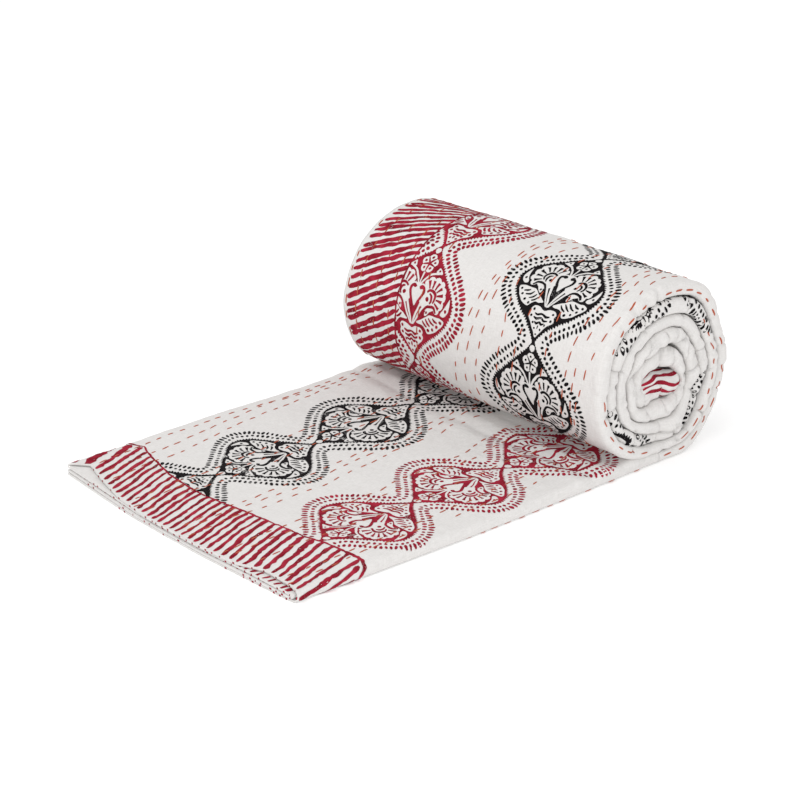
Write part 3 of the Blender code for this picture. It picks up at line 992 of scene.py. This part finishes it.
cut(INKED, blob((74.5, 0), (66, 6), (57, 11.2), (50.5, 10.6), (48.5, 5), (48.5, 0), (56, -1)))
cut(BARE, stroke([(33.5, 0), (41, 0), (51, 0)], (2.4, 1.9, 2.8)), mirrored=False)
cut(BARE, blob(
    (71.5, 0), (65.5, 3.3), (59.5, 6.7), (55, 8.4), (51.8, 7.5), (52.6, 4), (50.4, 1.4),
    (50.4, -1.4), (52.6, -4), (51.8, -7.5), (55, -8.4), (59.5, -6.7), (65.5, -3.3),
), mirrored=False)
cut(BARE, stroke([(51, 0.8), (43, 4.2), (36, 9.5), (32.3, 15), (31, 21)], (2.0, 2.4, 2.4, 2.4, 2.0)))
cut(BARE, blob((24.3, 18.0), (27, 16.2), (30, 15.3), (31.8, 20), (31, 25), (27, 21.6)))
cut(INKED, disc(28.2, 19.2, 1.2, 6))
STEMS = (
    (BARE, (91, 0.6, 1.6), (84, 2.6, 2.4), (75, 6.4, 3.0), (66, 10.2, 3.2), (59, 13.6, 3.0)),
    (BARE, (49.6, 1.5, 1.4), (47.2, 5, 1.8), (48.2, 9.5, 2.0), (52.3, 12.9, 2.2), (59, 13.8, 2.6)),
    (BARE, (90.5, 1.8, 1.4), (84, 5.9, 2.2), (77, 9.9, 2.4), (71, 13.2, 2.4), (66.5, 17, 2.4),
     (64, 22, 2.0)),
    (INKED, (95, 0.3, 1.6), (90, 5, 2.3), (84, 9.6, 2.3), (77, 13.4, 2.3), (71, 16.4, 2.4),
     (67.4, 20.2, 2.6), (66.4, 25.5, 3.0), (67.4, 30.3, 3.0), (71.5, 33.5, 2.2)),
)
for takes_ink, *stem in STEMS:
    x, y, widths = zip(*stem)
    cut(takes_ink, stroke(list(zip(x, y)), widths))
cut(BARE, blob(
    (69.2, 27.5), (69.8, 22.8), (71.6, 19.2), (75, 17.4), (78, 18.4), (76.4, 21.4), (72.6, 24.8),
))
cut(INKED, disc(74, 20.0, 1.3, 6))

leaf = blob(
    (87.2, 7.2), (88, 11.5), (88.6, 17.2), (91.3, 21.2), (95.3, 24.6), (94.2, 30), (91, 35.8),
    (86.4, 41.2), (81, 45.4), (77.3, 46.4), (75.8, 42), (75.8, 35), (75.6, 28.4), (76.6, 24),
    (79.8, 19.6), (82.4, 15), (85, 10.6),
)
LEAF_VEINS = (
    ((83.6, 16), (87, 19), (89.2, 23.4)), ((80.8, 20.4), (84.6, 23.4), (87.3, 28)),
    ((78.8, 25), (82.3, 28.6), (84.4, 34)), ((77.6, 31.2), (79.9, 34.2), (81, 38.4)),
)
cut(BARE, grown(leaf, 0.5))
for vein in LEAF_VEINS:
    cut(INKED, stroke(vein, (1.1, 2.4, 1.5)))
cut(INKED, *(disc(x, y, 1.6, 7) for x, y in ((92.3, 25.4), (89.8, 32.2), (85, 38.2), (79.6, 42.6))))

TULIP_SIDE = (
    (94.2, 3.4), (92.9, 6.6), (92.3, 10.6), (93, 14.6), (96, 16.9), (99.4, 15.8), (102.6, 17.2),
    (106.2, 15.2), (109.2, 11.6), (113.4, 8.2), (118, 4.4), (121.8, 1.8),
)
tulip = blob((95.3, 0), *TULIP_SIDE, (124.2, 0), *((x, -y) for x, y in TULIP_SIDE[::-1]))
cut(BARE, grown(tulip, 0.6), mirrored=False)
cut(INKED, disc(96, 13.4, 1.6, 7), disc(103.3, 13.6, 1.6, 7), disc(109.6, 8.2, 1.4, 7),
    disc(114.8, 4.4, 1.3, 6))
for x, reach in ((99.4, 10.5), (103.9, 9.5), (108.2, 6.4)):
    wave = [(x, -reach), (x + 1.4, -reach / 2), (x - 0.4, 0), (x + 1.4, reach / 2), (x, reach)]
    cut(INKED, stroke(wave, (1.4, 2.7, 2.1, 2.7, 1.4)), mirrored=False)
cut(INKED, petal(113.4, 0, 4.6, 1.8, 0, 7), disc(121, 0, 1.2, 6), mirrored=False)

cut(BARE, blob(
    (52.5, 48.8), (56.5, 47.6), (61.2, 46.2), (65.4, 43.7), (69.2, 41), (71.9, 41), (72.3, 44.4),
    (70.4, 48.4), (66.6, 51.2), (61.5, 51.2), (56.5, 50.2),
))
cut(INKED, disc(66, 47.2, 1.6, 7))


def in_ground(x, y):
    """Whether a point lies on the raised ground."""
    return 0 < x < REPEAT and abs(y) < np.interp(x, VINE_LINES[:, 0], VINE_LINES[:, OUTLINE_LINE])


def carved_block(spread):
    """The block's print. Wet ink spreads past the carved lines, so they print broader."""
    return carve([
        (grown(shapes, spread) if takes_ink and shapes is not ground else shapes, takes_ink)
        for shapes, takes_ink in block_cuts
    ], GROUND_CELL, in_ground)


GROUND_CELL = 3.4
WET_SPREAD = 0.32
sharp_print, wet_print = carved_block(0), carved_block(WET_SPREAD)
print("the vine's block:", len(sharp_print[0]), "points,", len(sharp_print[1]), "triangles")

# %% [markdown]
# One block is stamped again and again along the cloth. Each stamp is set down by hand, so it lies a
# little off, and a smooth noise bends its edges. Where a border covers a vine, bisect_plane trims the
# stamp. The tail's vines wander a little, so each neck has its own place there. On the inner turns the
# packet slipped as it was rolled, and its vine reaches round the near fold, so that parts of it show on
# the near face.

# %% Stamping the vines
INK_WANDER = 0.0005
INK_WANDER_SIZE = 0.0045
ink_parts = {"red": [], "black": []}


def trimmed(v, s, faces, edges):
    """Cuts a flat print along lines: each is a point (s, v) on the line and the direction to cut away."""
    flat = bmesh.new()
    vertices = [flat.verts.new((a, b, 0)) for a, b in zip(s, v)]
    for face in faces:
        flat.faces.new([vertices[k] for k in face])
    for place, away in edges:
        bmesh.ops.bisect_plane(
            flat, geom=flat.verts[:] + flat.edges[:] + flat.faces[:], dist=1e-7,
            plane_co=(*place, 0), plane_no=(*away, 0), clear_outer=True,
        )
    bmesh.ops.triangulate(flat, faces=flat.faces[:])
    flat.verts.index_update()
    places = np.array([vertex.co[:2] for vertex in flat.verts])
    kept = np.array([[vertex.index for vertex in face.verts] for face in flat.faces])
    flat.free()
    return (places[:, 1], places[:, 0], kept) if len(kept) else (np.zeros(0), np.zeros(0), kept)


def stamp(colour, middle, start, length, edges=(), block=sharp_print, drift=0):
    """Sets the block down once, from one neck to the next, which lies off the middle by the drift."""
    seed = int(start * 1e4) + int(middle * 1e3)
    chance = np.random.default_rng(seed)
    x, y = block[0].T / 1000
    s = start + x * length * 1000 / REPEAT
    v = middle + y + chance.uniform(-0.001, 0.001) + chance.uniform(-0.01, 0.01) * (x - REPEAT / 2000)
    v = v + drift * x * 1000 / REPEAT
    s = s + INK_WANDER * soft_noise(s, v, INK_WANDER_SIZE, INK_WANDER_SIZE, seed)
    v = v + INK_WANDER * soft_noise(s, v, INK_WANDER_SIZE, INK_WANDER_SIZE, seed + 1)
    faces = block[1]
    if edges:
        v, s, faces = trimmed(v, s, faces, edges)
    if len(faces):
        ink_parts[colour].append((v, s, faces))


BORDER = 0.082
END_LINE = (
    (0.000, 0.0790), (0.320, 0.0620), (0.345, 0.0560), (0.362, 0.0650), (0.380, 0.0770), (0.395, 0.0835),
    (0.420, 0.0815), (0.446, 0.0795), (0.475, 0.0808), (0.500, 0.0800), (0.530, 0.0785), (0.560, 0.0755),
    (0.590, 0.0705), (0.620, 0.0675), (0.660, 0.0670), (0.700, 0.0690), (0.735, 0.0715), (0.762, 0.0780),
    (0.775, 0.0810),
)
end_line = np.array(END_LINE).T
RED_PLACE, BLACK_PLACE = 0.108, 0.283
TAIL_RED = ((-0.038, 0.454), (0.082, 0.4545), (0.209, 0.464), (0.330, 0.461), (0.464, 0.456))
TAIL_BLACK = ((-0.028, 0.641), (0.107, 0.641), (0.231, 0.634), (0.380, 0.646), (0.510, 0.640))
roll_pitch = length_at(203) - length_at(120.6)
roll_red = length_at(120.6) + roll_pitch * np.arange(-4, 4)
roll_black = length_at(83) + (length_at(160.6) - length_at(83)) * np.arange(-3, 4)


def end_cut(middle):
    """The end border's inner line near a vine, as a cut."""
    low, high = (float(np.interp(middle + side, *end_line)) for side in (-0.04, 0.04))
    return ((low + high) / 2, middle), (-0.08, (high - low))


for colour, necks in (("red", TAIL_RED), ("black", TAIL_BLACK)):
    for (start, middle), (end, next_middle) in zip(necks, necks[1:]):
        edges = [end_cut(middle)] if start < 0.09 else ()
        stamp(colour, middle, start, end - start, edges, drift=next_middle - middle)
for start, end in zip(roll_red, roll_red[1:]):
    stamp("red", RED_PLACE, start, end - start, [((0, BORDER), (0, -1))], wet_print)
for start, end in zip(roll_black, roll_black[1:]):
    stamp("black", BLACK_PLACE, start, end - start)
FOLD_STAMPS = (
    (1.135, 1.262, 0.036), (1.222, 1.352, 0.043), (1.356, 1.486, 0.044),
    (length_at(626), length_at(742), 0.037),
)
fold_edges = [((0, FOLD_V - 0.026), (0, -1)), ((0, FOLD_V + 0.022), (0, 1))]
for start, end, shift in FOLD_STAMPS:
    stamp("black", BLACK_PLACE + shift, start, end - start, fold_edges)
print("stamps:", {colour: len(parts) for colour, parts in ink_parts.items()})

# %% [markdown]
# The borders are rows of slanting stripes, cut a little unevenly. A stripe is a strip of small squares
# from create_grid, bent and narrowed by the noise. The end border's stripes run in from the cloth's end,
# and here and there the ink has run over the edge. Near the tail's corner, where the second layer peeps
# out, the ink has struck through to its back.

# %% Border stripes
STRIPE = 0.0045
STRIPE_PITCH = 0.0097
STRIPE_START = 0.0022
FIRST_STRIPE = 0.0175
STRIPE_SLOPE = 0.31
STRIPE_UNEVEN, UNEVEN_SIZE = 0.42, (0.0045, 0.6)
STRIPE_WOBBLE, WOBBLE_SIZE = 0.0009, 0.012
STRIP_CELLS = 24
NEAR_SIDE_PLACES, NEAR_SIDE_REACH = (0.33, 1.10, 1.18), 0.05
MARKS_IN_VIEW, MARKS_ELSEWHERE = 0.85, 0.25
SPARSER, SPARSER_AT, SPARSER_REACH = 0.42, 0.004, 0.017
BACK_STRIPES = (1.062, 1.136, 0.0088)
BACK_START, BACK_END = 0.0012, 0.0095
vine_parts = len(ink_parts["red"])


def strip_cells(cells, rows):
    """A flat strip of squares as shares along and across it, with its triangles."""
    flat = bmesh.new()
    bmesh.ops.create_grid(flat, x_segments=cells, y_segments=rows, size=0.5)
    bmesh.ops.triangulate(flat, faces=flat.faces[:])
    flat.verts.index_update()
    shares = np.array([(vertex.co.x + 0.5, vertex.co.y + 0.5) for vertex in flat.verts])
    faces = np.array([[vertex.index for vertex in face.verts] for face in flat.faces])
    flat.free()
    return shares[:, 0], shares[:, 1], faces


strip_along, strip_across, strip_faces = strip_cells(STRIP_CELLS, 2)
mark_along, mark_across, mark_faces = strip_cells(2, 1)


def stripe(start, end, width, seed, wobble=STRIPE_WOBBLE, struck_through=False):
    """A red stripe from one (s, v) to another, with uneven sides, on the cloth's face or on its back."""
    s = start[0] + (end[0] - start[0]) * strip_along
    v = start[1] + (end[1] - start[1]) * strip_along
    run = np.hypot(end[0] - start[0], end[1] - start[1])
    aside = np.array([-(end[1] - start[1]), end[0] - start[0]]) / run
    place = strip_along * run
    half = width / 2 * (1 + STRIPE_UNEVEN * soft_noise(place, strip_across, *UNEVEN_SIZE, seed))
    half = half * np.clip(np.minimum(strip_along, 1 - strip_along) * 10 + 0.55, 0, 1)
    off = (strip_across - 0.5) * 2 * half + wobble * soft_noise(place, 0, WOBBLE_SIZE, 1, seed + 1)
    s, v = s + aside[0] * off, v + aside[1] * off
    if struck_through:
        back = np.full(len(v), -SHEET_THICKNESS - INK_LIFT)
        ink_parts["red"].append((v, s, strip_faces[:, ::-1], back))
    else:
        ink_parts["red"].append((v, s, strip_faces))


def border_stripe(v, start, end, slope, width, seed):
    """One stripe of an end border, from start to end along the cloth, that climbs by its slope."""
    rise = slope * (end - start)
    stripe((start, v - rise / 2), (end, v + rise / 2), width, seed)


def edge_mark(v, width):
    """Ink that ran over the cloth's end, where a stripe reaches it."""
    places = v + (mark_along - 0.5) * width
    past_end = np.full(len(places), -INK_LIFT)
    ink_parts["red"].append((places, past_end, mark_faces, -SHEET_THICKNESS * mark_across))


def stripe_manner(side):
    """How wide and how steep the end's stripes are, from the near side, 0, to the far side, 1."""
    wider, slope = 1.0, STRIPE_SLOPE
    if 0 < side < 1.01:
        wider += 0.10 * smooth_step((side - 0.60) / 0.15) + 0.30 * smooth_step((side - 0.80) / 0.14)
        wider += 0.10 * smooth_step((0.30 - side) / 0.20)
        slope += 0.05 * math.sin(9 * side) - 0.09 * smooth_step((0.09 - side) / 0.06)
    return wider, slope


chance = np.random.default_rng(100)
v = FIRST_STRIPE
while v < CLOTH_WIDTH - FIRST_STRIPE:
    side = (v - FOLD_V) / PACKET_WIDTH
    wider, slope = stripe_manner(side)
    sparse = 1.0 + SPARSER * bell(v - FOLD_V - SPARSER_AT, SPARSER_REACH)
    line = float(np.interp(v, *end_line))
    width = STRIPE * wider * chance.uniform(0.86, 1.14)
    border_stripe(v, STRIPE_START, line, slope, width, int(v * 1e5))
    by_near_side = min(abs(v - place) for place in NEAR_SIDE_PLACES) < NEAR_SIDE_REACH
    if chance.uniform() < (MARKS_IN_VIEW if by_near_side or 0 < side < 1 else MARKS_ELSEWHERE):
        aside = chance.uniform(-0.002, 0.002)
        edge_mark(v - slope * line / 2 + aside, width * chance.uniform(0.25, 0.65))
    v += STRIPE_PITCH * wider * sparse * chance.uniform(0.89, 1.11)
for step, v in enumerate(np.arange(*BACK_STRIPES)):
    end = (BACK_END, v + chance.uniform(0, 0.004))
    stripe((BACK_START, v), end, chance.uniform(0.0030, 0.0052), 620 + step, struck_through=True)
print("stripes and marks at the tail's end:", len(ink_parts["red"]) - vine_parts)

# %% [markdown]
# A thin printed line closes each border on its inner side. At the tail's end it isn't straight, so it is
# made of short stripes laid end to end. A few stripes of the other end's border show on the puffed fold in
# the middle of the roll. The side border follows the outer hem, round the outside of the roll.

# %% Border lines, and the stripes that show in the roll
LINE_PLACES = np.linspace(0.345, 0.772, 35)
LINE_WIDTH = 0.0026
LINE_WIDER, WIDER_AT, WIDER_REACH = 0.0016, 0.385, 0.03
for step, (v0, v1) in enumerate(zip(LINE_PLACES, LINE_PLACES[1:])):
    s0, s1 = np.interp((v0, v1), *end_line)
    width = LINE_WIDTH + LINE_WIDER * float(bell(v0 - WIDER_AT, WIDER_REACH))
    stripe((s0, v0), (s1, v1 + 0.001), width, 300 + step, 0.0002)
PAD_STRIPES = (
    (0.3555, 0.16, 0.0024), (0.3630, 0.20, 0.0027), (0.3715, 0.14, 0.0030), (0.3795, -0.02, 0.0028),
    (0.3870, -0.12, 0.0036), (0.3950, -0.26, 0.0024), (0.4030, -0.30, 0.0028),
)
for index, (v, slope, width) in enumerate(PAD_STRIPES):
    border_stripe(v, PAD_START, CLOTH_LENGTH - STRIPE_START, slope, width, 500 + index)

SIDE_FROM, SIDE_TO = 0.42, 1.12
SIDE_EDGE = 0.0055
SIDE_LEAN = 0.038
SIDE_LINE = 0.0024
side_pitch = STRIPE_PITCH * roll_pitch / (REPEAT / 1000)
for index, s in enumerate(np.arange(SIDE_FROM, SIDE_TO, side_pitch)):
    chance = np.random.default_rng(700 + index)
    start = (s + SIDE_LEAN * chance.uniform(0.93, 1.07), SIDE_EDGE)
    stripe(start, (s, BORDER), STRIPE * chance.uniform(0.98, 1.20), 800 + 3 * index, 0.0005)
    stripe((s - 0.001, BORDER), (s + side_pitch + 0.001, BORDER), SIDE_LINE, 1200 + index, 0.0003)
print("ink parts:", {colour: len(parts) for colour, parts in ink_parts.items()})

# %% [markdown]
# Block ink sinks into cotton unevenly. Where the block pressed lightly, bare yarn shows through in small
# specks, and the colour is deeper where ink pooled. One node group makes the specks and the pooling for
# both inks. The weave of the cotton goes on under them.

# %% Ink
ink_group, inside, outside_node = new_group(
    "block_ink",
    [("Place", "NodeSocketVector", None), ("Worn", "NodeSocketFloat", 0.4)],
    [("Bare", "NodeSocketFloat"), ("Pooled", "NodeSocketFloat")],
)
specks = noise(ink_group, inside.outputs["Place"], Scale=620, Detail=3, Roughness=0.6)
patches = noise(ink_group, inside.outputs["Place"], Scale=70, Detail=3)
level = summed(ink_group, summed(ink_group, specks, patches), inside.outputs["Worn"])
bare = node(ink_group, "ShaderNodeMapRange", {"interpolation_type": "SMOOTHSTEP"},
            {"From Min": 1.45, "From Max": 1.75}, {"Value": level})
pool = node(ink_group, "ShaderNodeMapRange", values={"From Min": 0.3, "From Max": 0.7},
            links={"Value": patches})
ink_group.links.new(bare.outputs[0], outside_node.inputs["Bare"])
ink_group.links.new(pool.outputs[0], outside_node.inputs["Pooled"])


def make_ink(name, deep, thin, worn):
    """Printed cotton of one colour."""
    material, tree, shader, _, place = make_fabric(name, 1.0, 0.0009, sheen=0.0, specular=0.06)
    pressing = node(tree, "ShaderNodeAttribute", {"attribute_name": "lightly_pressed"})
    wear = node(tree, "ShaderNodeMath", {"operation": "ADD"}, {1: worn}, {0: pressing.outputs["Fac"]})
    ink = node(tree, "ShaderNodeGroup", {"node_tree": ink_group},
               links={"Place": place.outputs[0], "Worn": wear.outputs[0]})
    colour = mixed_colour(tree, ink.outputs["Pooled"], thin, deep)
    speckled = mixed_colour(tree, ink.outputs["Bare"], colour, COTTON_LIGHT)
    tree.links.new(speckled, shader.inputs["Base Color"])
    return material


RED_DEEP, RED_THIN = (0.165, 0.004, 0.012, 1), (0.40, 0.028, 0.053, 1)
BLACK_DEEP, BLACK_THIN = (0.004, 0.003, 0.004, 1), (0.015, 0.013, 0.014, 1)
red_ink = make_ink("red_ink", RED_DEEP, RED_THIN, 0.25)
black_ink = make_ink("black_ink", BLACK_DEEP, BLACK_THIN, 0.26)


NEAR_LIFT_REACH, FAR_LIFT_REACH = 0.013, 0.011
LIGHT_FROM, LIGHT_BLEND, LIGHT_FADE = 0.07, 0.02, 0.05


def lay_print(name, parts, material, light):
    """Joins flat print parts and lays them on the cloth. Light is how faint the tail's vines are."""
    counts = np.cumsum([0] + [len(part[0]) for part in parts])
    v = np.concatenate([part[0] for part in parts])
    s = np.concatenate([part[1] for part in parts])
    faces = np.concatenate([part[2] + base for part, base in zip(parts, counts)])
    lift = np.concatenate([part[3] if len(part) > 3 else np.full(len(part[0]), INK_LIFT) for part in parts])
    on_folds = bell(v - FOLD_V, NEAR_LIFT_REACH) + bell(v - FAR_V, FAR_LIFT_REACH)
    lift = lift + np.where(lift > 0, FOLD_LIFT * on_folds, 0)
    mesh = bpy.data.meshes.new(name)
    mesh.from_pydata(carried(v, s, lift).tolist(), [], faces.tolist())
    put_cloth_map(mesh, CLOTH_WIDTH - v, s)
    pressing = mesh.attributes.new("lightly_pressed", "FLOAT", "POINT")
    on_tail = smooth_step((TAIL_LENGTH - s) / LIGHT_FADE)
    pressing.data.foreach_set("value", light * on_tail * smooth_step((s - LIGHT_FROM) / LIGHT_BLEND))
    print(name, len(faces), "triangles")
    return finish_mesh(name, mesh, material)


lay_print("print_red", ink_parts["red"], red_ink, 0.02)
lay_print("print_black", ink_parts["black"], black_ink, 0.09)

# %% [markdown]
# Rows of running stitch hold the layers of a quilt together. The thread shows as a short dash, dives
# through the cloth and comes up again a little farther on, and the rows drift because they are sewn by
# eye. Each dash is a low rounded thread made from one sphere, stretched and laid along the cloth. A row
# is a line of places, (s, v) on the tail and (heading, v) on the roll, with s in millimetres.

# %% Running stitches
THREAD_DEEP = (0.34, 0.043, 0.011, 1)
THREAD_FADED = (0.54, 0.102, 0.024, 1)
THREAD_WIDTH = 0.0015
THREAD_HEIGHT = 0.0009
STITCH = 0.0092
STITCH_RANGE = (0.68, 1.28)
STITCH_PITCH = 0.0180
ROW_DRIFT_SIZE = 0.05
SLOPE_STEP = 0.01


def stitch_shape():
    """One stitch: shares along, across and up from -1 to 1, with its triangles."""
    ball = bmesh.new()
    bmesh.ops.create_uvsphere(ball, u_segments=6, v_segments=6, radius=1)
    bmesh.ops.triangulate(ball, faces=ball.faces[:])
    ball.verts.index_update()
    places = np.array([vertex.co[:] for vertex in ball.verts])
    faces = np.array([[vertex.index for vertex in face.verts] for face in ball.faces])
    ball.free()
    along, fuller = places[:, 2], np.sqrt(1 + places[:, 2] ** 2)
    return along, places[:, 0] * fuller, places[:, 1] * fuller, faces


stitch_along, stitch_aside, stitch_up, stitch_faces = stitch_shape()
stitch_parts = []


def stitch_row(line, first, last, seed, drift=0.0015, keep=0.97):
    """A row of running stitches along the cloth, on a line through the given (s, v)."""
    line = np.array(line).reshape(-1, 2).T
    chance = np.random.default_rng(seed)
    s = first + chance.uniform(0, STITCH_PITCH)
    while s < last:
        if chance.uniform() < keep:
            half = STITCH / 2 * chance.uniform(*STITCH_RANGE)
            middle = np.interp(s, *line) + drift * float(soft_noise(s, first, ROW_DRIFT_SIZE, 1, seed))
            middle = middle + chance.uniform(-0.0006, 0.0006)
            rise = np.interp(s + SLOPE_STEP, *line) - np.interp(s - SLOPE_STEP, *line)
            lean = rise / (2 * SLOPE_STEP) + chance.uniform(-0.03, 0.09)
            along = s + half * stitch_along
            across = middle + stitch_aside * THREAD_WIDTH / 2 + lean * half * stitch_along
            lift = THREAD_HEIGHT / 2 * (stitch_up + 0.55 - 0.8 * stitch_along ** 6)
            stitch_parts.append((across, along, lift))
        s += STITCH_PITCH * chance.uniform(0.85, 1.15)


TOP_ROWS = (
    ((0, 0.744), (120, 0.754), (420, 0.753)),
    ((0, 0.722), (105, 0.731), (163, 0.7375), (218, 0.745), (270, 0.751), (420, 0.748)),
    ((0, 0.703), (103, 0.7105), (150, 0.7195), (205, 0.7255), (271, 0.7335), (331, 0.743), (362, 0.742),
     (414, 0.735)),
    ((0, 0.652), (130, 0.653), (211, 0.664), (244, 0.666), (313, 0.6745), (385, 0.6745), (470, 0.678)),
    ((0, 0.640), (174, 0.6405), (256, 0.650), (320, 0.654), (375, 0.660), (470, 0.664)),
    ((0, 0.624), (174, 0.6285), (222, 0.6335), (300, 0.638), (470, 0.640)),
    ((0, 0.570), (105, 0.5735), (150, 0.577), (181, 0.5795), (246, 0.585), (317, 0.5925), (364, 0.597),
     (414, 0.602)),
    ((0, 0.562), (104, 0.564), (157, 0.5645), (232, 0.5735), (266, 0.576), (330, 0.580), (374, 0.5875),
     (470, 0.598)),
    ((0, 0.551), (91, 0.550), (131, 0.553), (179, 0.553), (221, 0.560), (273, 0.5655), (350, 0.568),
     (369, 0.5745)),
    ((0, 0.500), (98, 0.504), (211, 0.505), (232, 0.5105), (333, 0.514), (355, 0.5215), (400, 0.531)),
    ((0, 0.489), (100, 0.491), (216, 0.4945), (329, 0.498), (348, 0.504), (400, 0.513)),
    ((0, 0.462), (200, 0.464), (470, 0.474)),
    ((0, 0.420), (100, 0.420), (173, 0.424), (230, 0.430), (330, 0.434), (470, 0.441)),
    ((0, 0.406), (100, 0.410), (207, 0.4135), (327, 0.415), (345, 0.420), (470, 0.424)),
)
ROLL_ROWS = (
    ((-90, 0.020), (270, 0.021)), ((-90, 0.046), (270, 0.048)), ((-90, 0.070), (270, 0.071)),
    ((-90, 0.118), (270, 0.116)),
    ((-90, 0.196), (60, 0.202), (111, 0.201), (148, 0.192), (180, 0.180), (201, 0.172), (225, 0.160),
     (270, 0.150)),
    ((-90, 0.204), (99, 0.208), (147, 0.202), (175, 0.194), (194, 0.188), (225, 0.178), (270, 0.170)),
    ((-90, 0.212), (105, 0.216), (143, 0.210), (155, 0.2145), (180, 0.208), (210, 0.198), (270, 0.190)),
    ((-90, 0.238), (85, 0.236), (122, 0.228), (160, 0.240), (225, 0.230), (270, 0.226)),
    ((-90, 0.270), (142, 0.268), (164, 0.262), (225, 0.250), (270, 0.246)),
    ((-90, 0.300), (170, 0.302), (225, 0.286), (270, 0.282)),
    ((-90, 0.334), (60, 0.332), (88, 0.337), (114, 0.345), (161, 0.334), (173, 0.332), (225, 0.318),
     (270, 0.312)),
    ((-90, 0.346), (60, 0.340), (84, 0.345), (101, 0.355), (135, 0.354), (159, 0.348), (176, 0.344),
     (225, 0.330)),
    ((-90, 0.358), (60, 0.356), (90, 0.363), (120, 0.376), (146, 0.367), (175, 0.358), (206, 0.342),
     (270, 0.336)),
)
for index, line in enumerate(TOP_ROWS):
    stitch_row([(s / 1000, v) for s, v in line], 0.003, TAIL_LENGTH - 0.004, 40 + index)
for index, line in enumerate(ROLL_ROWS):
    stitch_row([(length_at(heading), v) for heading, v in line], TAIL_LENGTH, 1.10, 80 + index)
stitch_row((0, FOLD_V + 0.001), TAIL_LENGTH, 1.20, 121, keep=0.8)
stitch_row((0, FOLD_V - 0.006), 0.20, TAIL_LENGTH, 122, keep=0.8)
for index, v in enumerate((FAR_V - 0.008, FAR_V + 0.004)):
    stitch_row((0, v), TAIL_LENGTH, CLOTH_LENGTH - 0.05, 140 + index)
for index, v in enumerate((0.004, CLOTH_WIDTH - 0.004)):
    stitch_row((0, v), 0.004, CLOTH_LENGTH - 0.05, 160 + index, 0.0005)
print("rows of stitches hold", len(stitch_parts), "stitches")

# %% [markdown]
# The thread is two plies twisted together, orange-red and a little faded in places. A fine slanting wave
# gives the twist, and a slow noise the fading.

# %% Thread
thread = bpy.data.materials.new("stitch_thread")
thread.use_nodes = True
tree = thread.node_tree
shader = tree.nodes["Principled BSDF"]
shader.inputs["Roughness"].default_value = 0.6
shader.inputs["Sheen Weight"].default_value = 0.05
place = node(tree, "ShaderNodeUVMap", {"uv_map": "cloth"})
ply = node(tree, "ShaderNodeMapping", values={"Scale": (2600, 900, 1), "Rotation": (0, 0, 0.6)},
           links={"Vector": place.outputs[0]})
twist = node(tree, "ShaderNodeTexWave", values={"Scale": 0.3, "Distortion": 0.6},
             links={"Vector": ply.outputs[0]})
colour = mixed_colour(tree, noise(tree, place.outputs[0], Scale=24), THREAD_DEEP, THREAD_FADED)
tree.links.new(colour, shader.inputs["Base Color"])
bump = node(tree, "ShaderNodeBump", values={"Strength": 0.6, "Distance": 0.0002},
            links={"Height": twist.outputs[0]})
tree.links.new(bump.outputs[0], shader.inputs["Normal"])

v, s, lift = (np.concatenate(column) for column in zip(*stitch_parts))
bases = len(stitch_along) * np.arange(len(stitch_parts))
faces = np.concatenate([stitch_faces + base for base in bases])
mesh = bpy.data.meshes.new("running_stitches")
mesh.from_pydata(carried(v, s, lift).tolist(), [], faces.tolist())
put_cloth_map(mesh, CLOTH_WIDTH - v, s)
finish_mesh("running_stitches", mesh, thread)
print("running stitches:", len(stitch_parts), "with", len(mesh.polygons), "triangles")
